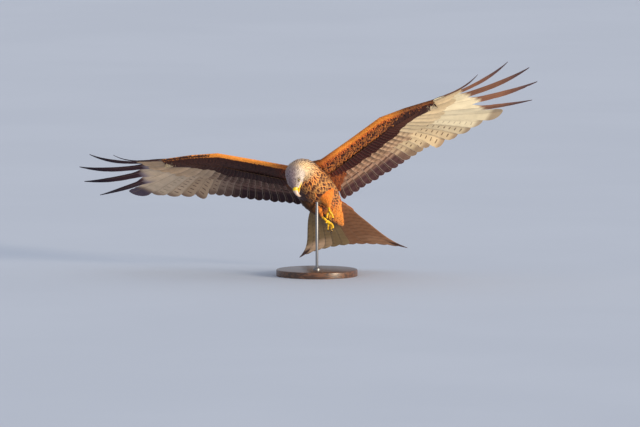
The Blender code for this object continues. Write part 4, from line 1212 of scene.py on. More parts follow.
def vane_batch(edges, thick, ridge, notch, camber):
    """Closed vanes from their edges, of shape feathers, rows, 3 places across, 3 axes.

    A point at q across is the quill plus q times the way to the edge on that side. The faces
    lie half the thickness to each side, times the root of one less q squared. The quill's
    ridge shrinks towards the tip.
    """
    count, rows = edges.shape[:2]
    q = VANE_COLUMNS[:, None]
    rim = 1 - notch * np.abs(chance.normal(0, 1, (count, rows, 2))) ** 2.2 * 0.25
    rim = np.clip(rim, 0.72, 1.0)
    lead, middle, trail = edges[:, :, 0], edges[:, :, 1], edges[:, :, 2]
    lead = middle + (lead - middle) * rim[:, :, :1]
    trail = middle + (trail - middle) * rim[:, :, 1:]
    toward = np.where(q > 0, (lead - middle)[:, :, None], (trail - middle)[:, :, None])
    run = unit(np.gradient(middle, axis=1))
    normal = unit(np.cross(lead - trail, run))[:, :, None]
    width = np.linalg.norm(lead - trail, axis=2)[:, :, None, None]
    sheet = middle[:, :, None] + toward * np.abs(q) + normal * width * camber * (0.35 - q**2)
    lens = np.sqrt(1 - q**2) * thick / 2
    shaft = (np.abs(q) < 0.05) * ridge * (1 - np.linspace(0, 1, rows)[:, None, None]) ** 0.7
    top = sheet + normal * (lens + shaft * 0.5)
    bottom = sheet - normal * (lens + shaft)
    points = np.concatenate([top.reshape(count, -1, 3), bottom[:, :, 1:-1].reshape(count, -1, 3)], 1)
    quads, triangles, slots = vane_faces(rows, len(VANE_COLUMNS))
    faces = repeated((quads, triangles), count, points.shape[1])
    slots = np.append(np.tile(slots, count), np.zeros(count * len(triangles)))
    return points.reshape(-1, 3), faces, slots, (count, rows, len(VANE_COLUMNS))


def on_points(values, shape):
    """Values on the grid of a vane, of shape feathers, rows, columns, given to all its points."""
    values = np.broadcast_to(values, (*shape, values.shape[-1]))
    both = [part.reshape(shape[0], -1, values.shape[-1]) for part in (values, values[:, :, 1:-1])]
    return np.concatenate(both, 1).reshape(-1, values.shape[-1])


def cell_map(shape, cells, first, across):
    """A cell of the vane sheet for each feather: the quill runs up it and the webs lie across."""
    count, rows, _ = shape
    cell = first + np.arange(count)[:, None, None]
    u = (cell % across + (VANE_COLUMNS * 0.42 + 0.5)) / across
    v = (cell // across + np.linspace(0.04, 0.96, rows)[:, None]) / math.ceil(cells / across)
    return on_points(layers(u, v), shape)


def dressed(vanes, side, under, upper, lay, pattern, cells, first, across=12):
    """A batch of vanes with the colours of both faces, their places and patterns, and a map.

    The batch is mirrored to the right wing where side is -1.
    """
    points, faces, slots, shape = vanes
    points = mirrored(points, side)
    grids = {"under": under, "upper": upper, "at_lay": layers(*lay), "at_pattern": layers(*pattern)}
    carried = {label: on_points(values, shape) for label, values in grids.items()}
    places = cell_map(shape, cells, first, across)
    faces = outward(points, faces)
    return {"points": points, "faces": faces, "slots": slots, "carried": carried, "map": places}


# %% [markdown]
# ## The finish of large feathers
# The two faces of a flight feather differ: dark brown above, and below grey or cream with
# dark cross bars. So each vane has two finishes, one a face. Both read their own ground
# colour from the points. The bars are waves of the distance along the quill, bent a little
# by noise. Where the wing is pale they are only short ticks on the inner web.

# %% Finish of large feathers
BAR_SPACING, BARB_SPACING = 0.0215, 0.0016


def vane_finish(name, ground, roughness):
    """Ground, cross bars, a pale rim and barbs, for one face of the large feathers."""
    look = Look(name, roughness, Specular_IOR_Level=0.12)
    lay, pattern, across = look.feather()
    bend = look.line(look.noise(55.0, 2.0), 1.6, -0.8)
    slope = look.line(across, -1.1, bend)
    wave = look.math("SINE", look.line(lay[1], 2 * math.pi / BAR_SPACING, slope))
    bars = look.times(look.ramp(wave, 0.05, 0.65), pattern[0])
    tick_web = look.ramp(look.math("ABSOLUTE", look.math("ADD", lay[0], 0.40)), 0.30, 0.16)
    ticks = look.times(look.ramp(wave, 0.72, 0.92), look.times(tick_web, pattern[1]))
    dark = look.math("MAXIMUM", bars, ticks)
    colour = look.attribute(ground)
    darker = look.blend(1.0, colour, (0.20, 0.15, 0.16), "MULTIPLY")
    colour = look.blend(dark, colour, darker)
    rim = look.times(look.ramp(across, 0.84, 0.99), pattern[2])
    colour = look.blend(rim, colour, look.blend(0.55, colour, (0.56, 0.44, 0.34)))
    shaft = look.ramp(across, 0.06, 0.02)
    colour = look.blend(shaft, colour, look.blend(0.5, colour, (0.30, 0.20, 0.13)))
    slant = look.line(across, -0.012, lay[1])
    barbs = look.math("SINE", look.times(slant, 2 * math.pi / BARB_SPACING))
    tone = look.line(barbs, 0.05, look.line(look.noise(30.0, 5.0), 0.55, 0.70))
    return look.done(look.toned(colour, tone), barbs, 0.25, 0.0003)


VANES = [
    vane_finish("flight_feather_upper", "upper", 0.5),
    vane_finish("flight_feather_under", "under", 0.55),
]

# %% [markdown]
# ## Colours along a flight feather
# Below, the secondaries are grey-brown with bars and dark ends. The bases of the primaries
# make the cream window that marks the kite from below, and the fingers are dark past their
# notches. Above, all of them are dark brown. These are sums of a few soft steps of the
# feather's number and the distance from its tip.

# %% Colours of the flight feathers
UNDER_GREY = seen(172, 136, 114)
UNDER_PALE = seen(214, 190, 152)
WINDOW = seen(236, 220, 184)
END_MAUVE = seen(84, 58, 60)
FINGER_BROWN = seen(128, 88, 70)
FINGER_END = seen(66, 50, 56)
# SHADE_VANE, SHADE_WINDOW and SHADE_FINGER are painted shade for the underside of the right wing.
SHADE_VANE = np.array((0.42, 0.36, 0.42))
SHADE_WINDOW = np.array((0.84, 0.74, 0.76))
SHADE_FINGER = np.array((0.24, 0.22, 0.44))
UPPER_BROWN = seen(70, 50, 40)
UPPER_BLACK = seen(44, 34, 32)


def notches(index):
    """The length of each finger past its notch, by the feather's number."""
    return np.interp(index - FIRST_FINGER, range(FINGERS), FINGER_LENGTH)


def flight_colours(index, from_tip, q):
    """Ground below and above, and the pattern, on grids of feather number and place."""
    pale = soft(index, 8.5, 3.5)
    under = mix(mix(UNDER_GREY, UNDER_PALE, pale), WINDOW, soft(index, 15.0, 2.0))
    end_start = np.interp(index, (0, 9, 13, 15, 17, 18), (0.050, 0.050, 0.022, 0.014, 0.020, 0.045))
    end = eased((end_start - from_tip) / 0.022 + 0.5) * (index < FIRST_FINGER)
    under = mix(under, mix(END_MAUVE, seen(120, 92, 78), pale), end * (1 - 0.35 * pale))
    notch = notches(index) - 0.004 + 0.018 * q
    past = eased((notch - from_tip) / 0.014 + 0.5) * (index >= FIRST_FINGER)
    under = mix(under, mix(FINGER_END, FINGER_BROWN, soft(from_tip, 0.015, 0.13)), past)
    bars = (1 - pale) * (1 - 0.7 * end) * 0.85
    ticks = pale * (1 - soft(index, 16.2, 1.5)) * 0.9 * (1 - end)
    upper = mix(UPPER_BROWN, UPPER_BLACK, soft(index, 12, 5))
    upper = mix(upper, upper * 0.7, soft(from_tip, 0.06, -0.04))
    return under, upper, (bars, ticks, np.where(index < SECONDARIES, 0.75, 0.25))


def flight_batch(side):
    """All flight feathers of one wing as one batch. The right wing hangs in shade, so its colours are
    painted darker.
    """
    share = vane_shares(34)
    edges = np.stack([flight_edges(index, share) for index in range(FLIGHT_FEATHERS)])
    vanes = vane_batch(edges, VANE, 0.0006, 0.06, 0.015)
    index = np.arange(FLIGHT_FEATHERS, dtype=float)[:, None, None]
    from_tip = ((1 - share) * LENGTHS[:, None])[:, :, None]
    # On the right wing the dark fingers and ends reach further from the tip: painted shade.
    shaded_reach = 0.028 * (side < 0) * (index >= FIRST_FINGER - 1)
    under, upper, pattern = flight_colours(index, from_tip - shaded_reach, VANE_COLUMNS)
    seed = chance.random(FLIGHT_FEATHERS)[:, None, None]
    tone = (1 + (seed - 0.5) * 0.16)[..., None]
    # The right wing's undersides are multiplied by painted shade.
    if side < 0:
        finger = (index >= FIRST_FINGER) * eased((notches(index) + 0.055 - from_tip) / 0.04)
        finger = np.maximum(finger, (index == FIRST_FINGER - 1) * soft(from_tip, 0.075, -0.03))
        shade = mix(SHADE_VANE, SHADE_WINDOW, soft(index, 12.0, 2.0))
        under = under * mix(shade, SHADE_FINGER, finger)
    lay = VANE_COLUMNS, LENGTHS[:, None, None] - from_tip + seed * 0.006, seed
    return dressed(vanes, side, under * tone, upper * tone, lay, pattern, MAP_CELLS, 0)


# %% [markdown]
# ## Greater coverts
# Over the roots of the flight feathers lie the greater coverts, one on each quill, above
# and below. They are the same kind of vane, only shorter and rounder. Below they are
# grey-brown with dark centres and pale fringes along the arm, and dark on the hand. Nearer
# the front a row of smaller ones, the median coverts, lies over them.

# %% Wings of large feathers
GREATER, MEDIANS, MAP_CELLS = 24, 36, 144
COVERT_KEYS = (0, 3, 9, 13, 15, 23)
GREATER_UNDER = (176, 176, 184, 198, 222, 214), (124, 136, 148, 166, 200, 188), (96, 110, 120, 134, 162, 148)
GREATER_UPPER = (108, 92, 84, 66, 50, 46), (76, 64, 58, 46, 38, 36), (54, 46, 44, 38, 34, 32)
MEDIAN_UNDER = (104, 66, 60, 62, 70, 84), (44, 30, 28, 30, 38, 52), (28, 26, 26, 26, 30, 38)
MEDIAN_UPPER = (164, 176, 170, 130, 74, 60), (122, 134, 126, 92, 52, 44), (84, 92, 86, 64, 42, 38)
COVERT_COLOURS = {GREATER: (GREATER_UNDER, GREATER_UPPER), MEDIANS: (MEDIAN_UNDER, MEDIAN_UPPER)}
COVERT_ROWS = (
    (-1, GREATER, 1.0, 0.030, 0.0, 24),
    (1, GREATER, 1.0, 0.030, 0.0, 48),
    (-1, MEDIANS, 0.62, 0.012, 0.0036, 72),
    (1, MEDIANS, 0.66, 0.012, 0.0022, 108),
)


def covert_batch(side, above, count, reach, start, lift, first_cell):
    """One row of coverts on one wing, above or below it, evenly spaced over the quills."""
    share = vane_shares(14)
    index = np.linspace(0, FLIGHT_FEATHERS - 1.5, count)
    greater = count == GREATER
    step = index[1] * (1.0 if greater else 1.5)
    reaches = reach * vary(count, 0.10)
    if above < 0 and not greater:
        reaches = reaches * np.interp(index, (12, 15, 20), (1.0, 0.62, 0.45))
    edges = [covert_edges(i, step, above, share, r, start, lift) for i, r in zip(index, reaches)]
    vanes = vane_batch(np.stack(edges), COVERT_VANE, 0.0006, 0.07, 0.05)
    index = index[:, None, None]
    colours = []
    for shades in COVERT_COLOURS[count]:
        ground = between(index, COVERT_KEYS, seen(*shades).T)
        colours.append(ground * vary(count, 0.12)[:, None, None, None])
    end = soft(share, 0.55, 0.35)[:, None]
    on_arm = 1 - 0.8 * soft(index, 12, 3)
    centre = 1 - 0.55 * on_arm * eased((0.75 - np.abs(VANE_COLUMNS)) / 0.5) * (1 - 0.4 * end)
    centre = centre[..., None]
    under, upper = colours[0] * centre, colours[1] * (0.5 + 0.5 * centre)
    # The right wing's greater coverts below carry the same painted shade.
    if side < 0 and greater:
        under = under * mix(SHADE_VANE, SHADE_WINDOW, soft(index, 12.0, 2.0))
    seed = chance.random(count)[:, None, None]
    lay = VANE_COLUMNS, share[:, None] * 0.1 + seed * 0.02, seed
    pattern = np.where(index < SECONDARIES, 0.35, 0.05), 0, 0.70 if greater else 0.15
    return dressed(vanes, side, under, upper, lay, pattern, MAP_CELLS, first_cell)


for label, side in SIDES.items():
    rows = [flight_batch(side)] + [covert_batch(side, *row) for row in COVERT_ROWS]
    add_batches("vanes_wing_" + label, rows, VANES, "flight_feathers", ("wing_" + label,))

# %% [markdown]
# ## Small coverts of the wings
# From the front edge back to the greater coverts the arm and hand are tiled with small round
# feathers. Below they are orange with dark streaks along the front, then almost black. Above
# they are brown with pale rufous fringes. They are grown on the arm's own surface, in rows
# that follow its front edge, and lie back and a little outward.

# %% Small feathers on the arms
LESSER_GOLD = seen(246, 152, 58)
LESSER_ORANGE = seen(224, 108, 44)
LESSER_RUST = seen(128, 50, 34)
HAND_BROWN = seen(104, 58, 42)
ARM_KEYS, ARM_SIZES = (0.06, 0.3, 0.52), (1.0, 0.92, 0.6)
BORDER_LEFT = (0.06, 0.19, 0.318, 0.37, 0.42, 0.52)
LIT_BORDER = (0.66, 0.58, 0.46, 0.20, 0.07, 0.05)
# SHADED_BORDER keeps the right wing's orange band narrow: painted shade.
SHADED_BORDER = (0.016, 0.016, 0.016, 0.004, 0.002, 0.0)
CHORD_END = 0.985


def arm_rows(first_angle, last_angle, rows, gap, start):
    """Roots in staggered rows along the arm, at even angles round its section."""
    roots = []
    for row in range(rows):
        angle = first_angle + (last_angle - first_angle) * row / (rows - 1)
        left = np.arange(start + gap * 0.5 * (row % 2), CORE_LEFT[-1] + 0.012, gap)
        roots.append(np.stack([left, np.full(len(left), angle)]))
    left, angle = np.concatenate(roots, axis=1)
    left += chance.uniform(-0.3, 0.3, len(left)) * gap
    angle += chance.uniform(-0.5, 0.5, len(left)) * abs(last_angle - first_angle) / rows
    return left, angle


def chord_share(angle):
    """How far back on the arm's section an angle lies: half of one less its cosine."""
    return 0.5 * (1 - np.cos(angle))


def run_on_chord(left, angle, length, way):
    """The change of angle that carries a quill of that length back over the arm."""
    share = chord_share(angle) + length / np.interp(left, CORE_LEFT, CORE_CHORD)
    return way * (np.arccos(1 - 2 * np.clip(share, 0.02, CHORD_END)) - np.abs(angle))


def under_colours(left, share, side):
    """Colours and pattern below: orange in front, dark behind, with a ragged border."""
    count, lit = len(left), side > 0
    # On the right wing the orange band is narrow and the dark and cream parts are darker: painted shade.
    border = np.interp(left, BORDER_LEFT, LIT_BORDER if lit else SHADED_BORDER)
    ragged = chance.normal(0, 0.05 if lit else 0.003, count)
    behind = eased((share - border + ragged) / (0.12 if lit else 0.010) + 0.5)
    front = mix(LESSER_GOLD, LESSER_ORANGE, soft(share, 0.01, 0.06))
    front = mix(front, LESSER_RUST, soft(share, 0.03, 0.14) * chance.uniform(0.0, 1.0, count) ** 0.7)
    front = mix(front, HAND_BROWN, 0.85 * lit * soft(left, 0.345, 0.085))
    ground = mix(front, WING_DARK * (0.9 if lit else 0.7), behind)
    ground = mix(ground, FLANK * 0.9, soft(left, 0.135, -0.06) * 0.7)
    hand_end = eased((left + chance.normal(0, 0.006, count) - 0.487) / 0.02) * soft(share, 0.15, 0.15)
    ground = mix(ground, seen(222, 200, 162) * (1.0 if lit else 0.6), hand_end) * vary(count, 0.16)[:, None]
    edge = mix(seen(240, 150, 70), seen(112, 66, 50), behind)
    streak = np.where(behind > 0.5, 0.5, 0.05 + 0.80 * soft(share, 0.03, 0.12)) * vary(count, 0.4)
    fringe = np.where(behind > 0.5, 0.25, 0.20 + 0.3 * soft(share, 0.06, 0.10)) * vary(count, 0.4)
    return (ground, DARK_STREAK * 0.7, edge), (streak * (1 - hand_end), fringe)


def over_colours(left, share, side):
    """The same above: brown with rufous fringes, darker out on the hand, orange at the front."""
    count = len(left)
    hand = soft(left, 0.33, 0.12)
    ground = mix(mix(WING_TOP, seen(104, 66, 44), eased(share / 0.5)), seen(64, 46, 38), hand)
    rim = (1 - soft(share, 0.02, 0.08)) * (1 - 0.6 * hand) * soft(left, 0.02, 0.06)
    ground = mix(ground, LESSER_ORANGE, rim) * vary(count, 0.2)[:, None]
    edge = mix(seen(196, 128, 74), seen(120, 88, 66), hand)
    streak = 0.42 * vary(count, 0.35) * (1 - rim)
    return (ground, seen(52, 36, 30), edge), (streak, 0.7 * vary(count, 0.3))


def wing_tile(side, above, left, share):
    """The tile of the coat's map that a wing's side has, and the places on it."""
    return atlas(4 + 2 * (side < 0) + (not above), left, share)


def arm_coat(side, above, rows, gap, lengths, half, first_angle, last_angle, raised):
    """A batch of small coverts over the arm and hand of one wing, above or below."""
    left, angle = arm_rows(first_angle, last_angle, rows, gap, 0.012 if above else 0.050)
    count = len(left)
    share = chord_share(angle)
    size = np.interp(share, (0, 0.15, 0.6, 1.0), lengths) * np.interp(left, ARM_KEYS, ARM_SIZES)
    size = size * vary(count, 0.15)
    way = 1 if above else -1
    angle = angle * way
    runs = size * 0.25 + chance.normal(0, 0.0015, count), run_on_chord(left, angle, size, way)
    looks = (over_colours if above else under_colours)(left, share, side)
    wide = half * size / lengths[2]
    tile = wing_tile(side, above, np.clip((left - 0.04) / 0.5, 0, 1), np.clip(share, 0, 1))
    return grow(core_point, (left, angle), runs, 0.0022, raised, wide, ROUND_FEATHER, *looks, tile, side)


def edge_coat(side):
    """Tiny feathers round the front edge itself, which lie outward along it."""
    left, angle = arm_rows(-0.45, 0.45, 8, 0.0060, 0.016)
    size = 0.0120 * np.interp(left, ARM_KEYS, ARM_SIZES) * vary(len(left), 0.15)
    # Below the right wing's hand the edge feathers take the dark colours: painted shade.
    thin = (side < 0) * soft(left, 0.33, 0.03) * (angle < -0.05)
    (ground, *others), pattern = under_colours(left, 0.03 * thin, side)
    at_neck = soft(left, 0.075, -0.05) * (angle > -0.2)
    looks = (mix(ground, WING_TOP * 0.6, at_neck), *others), pattern
    tile = wing_tile(side, True, np.clip((left - 0.04) / 0.5, 0, 1), angle * 0 + 0.01)
    roots, runs = (left, angle), (size, angle * 0.3)
    return grow(core_point, roots, runs, 0.0008, 0.0026, size * 0.30, ROUND_FEATHER, *looks, tile, side)


# %% [markdown]
# ## Feathers over the joins of wing and body
# Where a wing meets the body, long feathers hide the join. Those below are the axillaries,
# rufous with dark streaks, and those above are the scapulars, brown with pale fringes. Both
# grow on a plain sheet that bridges the two: its height depends on the distance to the left,
# and falls a little behind the arm.

# %% Axillaries and scapulars
BRIDGE_LEFT = (0.030, 0.055, 0.080, 0.120)
BRIDGE_ABOVE = (0.004, 0.007, 0.019, 0.032)
BRIDGE_BELOW = (-0.024, -0.015, -0.0085, 0.0035)
BRIDGE_ROWS, BRIDGE_COLUMNS = 9, 6


def bridge_coat(side, above):
    """Staggered rows of long feathers from the front of the join back over the flank."""
    lefts = np.linspace(0.034 if above else 0.060, 0.104, BRIDGE_COLUMNS)
    back, left = np.meshgrid(np.linspace(0.012, 0.125, BRIDGE_ROWS), lefts, indexing="ij")
    back = back * (1 - 12.0 * np.clip(left - 0.064, 0, 1))
    left = left + (np.arange(BRIDGE_ROWS) % 2)[:, None] * 0.005 - (back - 0.012) * 0.10
    back, left = back.ravel(), left.ravel()
    count = len(back)
    back = back + chance.uniform(-0.004, 0.004, count)
    heights = BRIDGE_ABOVE if above else BRIDGE_BELOW

    def sheet(u, v, out):
        """The sheet's height at a place back and left, raised or lowered by the third number."""
        drop = out - 0.10 * np.clip(u - 0.06, 0, 1) if above else -out
        return layers(-u, v, np.interp(v, BRIDGE_LEFT, heights) + drop)

    if above:
        looks = over_colours(left * 0, left * 0 + 0.4, side)
    else:
        # Below the right wing the axillaries are darkened as painted shade.
        ground = mix(FLANK, LESSER_ORANGE, chance.uniform(0.0, 0.6, count)) * (1.0 if side > 0 else 0.12)
        pattern = 0.70 * vary(count, 0.3), 0.4 * vary(count, 0.3)
        looks = (ground, DARK_STREAK, mix(ground, LESSER_GOLD, 0.3)), pattern
    tile = wing_tile(side, above, back * 0.9, left * 4)
    length = (0.056 if above else 0.066) * vary(count, 0.12)
    runs = length, length * 0.12
    return grow(sheet, (back, left), runs, 0.006, 0.0030, 0.0098, ROUND_FEATHER, *looks, tile, side)


for label, side in SIDES.items():
    rows = [
        bridge_coat(side, True),
        bridge_coat(side, False),
        edge_coat(side),
        arm_coat(side, False, 6, 0.0052, (0.010, 0.017, 0.030, 0.032), 0.0084, 0.02, 0.46, 0.0028),
        arm_coat(side, False, 17, 0.0118, (0.014, 0.024, 0.036, 0.038), 0.0096, 0.44, 2.55, 0.0026),
        arm_coat(side, True, 24, 0.0085, (0.010, 0.018, 0.028, 0.034), 0.0068, 0.04, 2.55, 0.0026),
    ]
    add_batches("coat_wing_" + label, rows, SMALL_FEATHERS, "plumage")

# %% [markdown]
# ## The forked tail
# Twelve feathers make the tail, six a side, the outer ones longest, which gives the fork.
# Each one's outer web lies over the next. A point of the tail's surface is a function of the
# share back along it and the place across it, and the whole fan is twisted a little about
# its axis, as a banking kite steers. Below the tail is a dull olive to rufous with faint
# bars and dark corners, above it is bright rufous.

# %% The tail's surface
TAIL_ROOT, TAIL_LENGTH, TAIL_FORK, TAIL_START = -0.180, 0.279, 0.055, 0.125
TAIL_SPREAD, TAIL_POWERS = (0.030, 0.111, 0.075), (2.1, 5.3)
TAIL_FEATHERS, TAIL_HEIGHT, TAIL_DROOP = 6, -0.038, 0.022
TAIL_TWIST = math.radians(-8.3)
OUTER_RIM, TAIL_TILT = 0.007, 0.0005


def tail_point(share, place, below=0.0):
    """Back from the root, place times the fan's half width, drooping, then twisted."""
    start, fan, flare = TAIL_SPREAD
    fast, late = TAIL_POWERS
    half = start + fan * (1 - (1 - np.clip(share, 0, 1)) ** fast) + flare * np.clip(share, 0, 2) ** late
    back = TAIL_ROOT - share * (TAIL_LENGTH + TAIL_FORK * place**2)
    across = place * half
    rise = -TAIL_DROOP * share - below
    angle = TAIL_TWIST * np.clip((TAIL_ROOT - 0.02 - back) / 0.10, 0.0, 1.0)
    side = across * np.cos(angle) - rise * np.sin(angle)
    up = across * np.sin(angle) + rise * np.cos(angle) + TAIL_HEIGHT
    return layers(back, side, up)


def tail_edges(number, side, share):
    """Leading edge, quill and trailing edge of one tail feather, counted from the middle out."""
    step = 1 / (TAIL_FEATHERS - 0.5)
    place = (number + 0.5) * step
    part = TAIL_START + (1 - TAIL_START) * share
    middle = tail_point(part, side * place)
    lead = middle + (tail_point(part, side * (place + step)) - middle) * 0.5
    if number == TAIL_FEATHERS - 1:
        lead = middle + unit(lead - middle) * OUTER_RIM
    inner = tail_point(part, side * (place - step)) - middle
    trail = middle + inner * (INNER_WEB * round_tip(part, 0.92))[:, None]
    lead = middle + (lead - middle) * round_tip(part, 0.94)[:, None]
    lead[:, 2] += TAIL_TILT
    trail[:, 2] += TAIL_TILT if number == 0 and side > 0 else -TAIL_TILT
    return np.stack([lead, middle, trail], 1)


TAIL_OLIVE = seen(152, 126, 88)
TAIL_RED = seen(158, 106, 76)
TAIL_TOP = seen(190, 102, 50)
TAIL_CORNER = seen(84, 58, 50)


def tail_batch(side):
    """The six feathers of one side with their colours, bars and dark corners."""
    share = vane_shares(30)
    edges = np.stack([tail_edges(number, side, share) for number in range(TAIL_FEATHERS)])
    if side < 0:
        edges = edges[:, :, ::-1]
    vanes = vane_batch(edges, VANE, 0.0004, 0.04, 0.0)
    number, share = np.arange(TAIL_FEATHERS)[:, None, None], share[:, None]
    under = mix(TAIL_OLIVE, TAIL_RED, 0.40 + 0.40 * side)
    corner = eased((share - np.interp(number, (0, 4, 5), (1.04, 0.99, 0.86))) / 0.10 + 0.5)
    paler = soft(share, 0.70, 0.14) * (1 - soft(share, 0.95, 0.06)) * soft(number, 1.0, 2.0)
    under = mix(under, seen(238, 196, 156), paler * (0.85 if side < 0 else 0.12))
    under = mix(under, TAIL_CORNER, corner)
    upper = mix(mix(TAIL_TOP, seen(150, 84, 50), number / (TAIL_FEATHERS - 1) * 0.6), TAIL_CORNER, corner)
    seed = chance.random(TAIL_FEATHERS)[:, None, None]
    tone = (0.97 + 0.06 * seed)[..., None]
    pattern = np.where(number > 1.5, 0.22, 0.10) * (VANE_COLUMNS < 0.2) + 0.05, 0, 0.10
    lay = VANE_COLUMNS, share * 0.26 + seed * 0.01, seed
    first = 0 if side > 0 else TAIL_FEATHERS
    return dressed(vanes, 1, under * tone, upper * tone, lay, pattern, 12, first, 6)


add_batches("tail_feathers", [tail_batch(1), tail_batch(-1)], VANES, "tail_feathers", ("tail",))

# %% [markdown]
# ## Coverts of the tail
# Long soft feathers cover the roots of the tail. Above they are bright rufous and lie in
# rows on the fan. Below they are orange and hang together as a cone that narrows to a point,
# which is the end of the body's tube and coat, made above.

# %% Feathers over the tail's root
def over_tail(rows, per_row):
    """Rows of long round feathers on the upper side of the tail's root, longest in the middle."""
    places = np.linspace(-0.84, 0.84, per_row)
    share, place = np.meshgrid(np.linspace(-0.10, 0.19, rows), places, indexing="ij")
    place = place + (np.arange(rows) % 2)[:, None] * 0.84 / per_row
    share, place = share.ravel(), place.ravel()
    count = len(share)
    share = share + chance.uniform(-0.01, 0.01, count)
    length = (0.22 - 0.06 * place**2) * vary(count, 0.08)
    ground = mix(seen(150, 84, 48), TAIL_TOP, eased(share / 0.15)) * vary(count, 0.14)[:, None]
    colours = ground, ground * 0.5, mix(ground, seen(226, 160, 96), 0.6)
    pattern = 0.16 * vary(count, 0.5), 0.6 * vary(count, 0.3)
    tile = atlas(2, place * 0.5 + 0.5, share + 0.2)
    surface = lambda u, v, out: tail_point(u, v, -out)
    raised = 0.0045 + 0.001 * chance.random(count)
    roots, runs = (share, place), (length, 0.05 * place)
    return grow(surface, roots, runs, 0.001, raised, 0.0092, BROAD_FEATHER, colours, pattern, tile)


add_batches("coat_over_tail", [over_tail(7, 12)], SMALL_FEATHERS, "plumage")

# %% [markdown]
# ## Eyes and lids
# A kite's eye has a pale amber iris with a dark rim and a round black pupil, under a clear
# wet surface. Each eye is a ball of rows and columns with its pole on the line of sight, so
# that the iris can be drawn by the angle from that line. The lids are a thin ring of bare
# skin round the ball: a small circle carried round a larger one.

# %% Eyes and lids
EYE_RADIUS = 0.0066
SIGHT = (0.42, 0.90, 0.10)
LID_RADIUS = 0.0013
LID_OUT, LID_REACH, LID_CORNER = 0.0036, 0.83, 0.0016
BALL_SHARE = 0.97
LID_RINGS, LID_SIDES = 48, 10


def eye_finish():
    """Pupil, iris and dark rim by the angle from the line of sight, under a clear coat."""
    look = Look("eye", 0.08, Coat_Weight=1.0, Coat_Roughness=0.02, IOR=1.4)
    lay = look.attribute("at_lay", "Vector")
    away = look.parts(lay)[0]
    stretched = {0: lay, 1: (3.0, 9.0, 1.0)}
    rays = look.noise(6.0, 4.0, look.node("ShaderNodeVectorMath", stretched, operation="MULTIPLY"))
    iris = look.blend(rays, (0.46, 0.27, 0.06), (0.76, 0.55, 0.20))
    iris = look.blend(look.ramp(away, 0.62, 0.74), iris, (0.05, 0.035, 0.03))
    return look.done(look.blend(look.ramp(away, 0.41, 0.38), iris, (0.004, 0.004, 0.005)))


def eyeball(side):
    """A ball round the line of sight: rows by the angle from it, columns round it."""
    sight = unit(np.array(SIGHT) * (1, side, 1))
    level = unit(np.cross(sight, (0.0, 0.0, 1.0)))
    upright = np.cross(level, sight)
    away, turn = np.meshgrid(np.linspace(0.0, math.pi, 34)[1:-1], turns(40), indexing="ij")
    bulge = 1 + 0.05 * np.exp(-((away / 0.55) ** 2))
    ways = circle(away, sight, circle(turn, level, upright))
    centre = EYE * (1, side, 1)
    rings = in_head(centre + ways * (EYE_RADIUS * bulge * BALL_SHARE)[..., None])
    points, faces = closed_tube(rings)
    lay = layers(away, turn / math.pi, 0).reshape(-1, 3)
    lay = np.concatenate([lay, [(0.0, 0.0, 0.0), (math.pi, 0.0, 0.0)]])
    return points, faces, lay


def lid_ring(side):
    """The bare rim of both lids, an ellipse a little squinted above."""
    turn, around = np.meshgrid(turns(LID_RINGS), turns(LID_SIDES), indexing="ij")
    away = layers(np.cos(turn), 0, np.sin(turn) * np.where(np.sin(turn) > 0, 0.74, 0.90))
    middle = np.array((EYE[0], side * (EYE[1] + LID_OUT), EYE[2])) + away * EYE_RADIUS * LID_REACH
    middle[..., 1] -= side * LID_CORNER * np.abs(np.cos(turn)) ** 2
    ring = circle(around, away, np.array((0.0, 1.0, 0.0)))
    points = in_head(middle + ring * LID_RADIUS).reshape(-1, 3)
    faces = ring_faces(LID_RINGS + 1, LID_SIDES) % len(points)
    return points, outward(points, [faces])


def bare_skin(name, colour, darker, roughness):
    """Bare yellow or grey skin with fine wrinkles and a little variation."""
    look = Look(name, roughness, Subsurface_Weight=0.06, Subsurface_Scale=0.002)
    grain = look.noise(700.0, 4.0)
    wide = look.noise(90.0, 3.0)
    colour = look.blend(look.ramp(wide, 0.35, 0.7), colour, darker)
    wrinkles = look.times(look.ramp(grain, 0.5, 0.75), 0.35)
    colour = look.blend(wrinkles, colour, darker * 0.6)
    return look.done(colour, grain, 0.35, 0.0003)


EYE_FINISH = eye_finish()
YELLOW_SKIN = bare_skin("yellow_skin", seen(246, 200, 40), seen(222, 160, 30), 0.42)
LID_SKIN = bare_skin("lid_skin", seen(60, 46, 38), seen(36, 28, 26), 0.5)
for label, side in SIDES.items():
    points, faces, lay = eyeball(side)
    names = ("eye_" + label,)
    add_piece("eyeball_" + label, to_world(points), faces, [EYE_FINISH], "eye", names, {"at_lay": lay})
    points, faces = lid_ring(side)
    add_piece("lids_" + label, to_world(points), faces, [LID_SKIN], "yellow_skin")

# %% [markdown]
# ## Bill, cere and gape
# The hooked bill has three finishes on one form. Its base is the cere, soft yellow skin
# with the nostrils. Then comes pale horn, darker at the hook. It is a loft of sections that
# turn with a bent middle line, with a ridge along the top and sharp lower edges. The gape
# is the yellow fold of skin that runs from the bill's corner back below the eye.

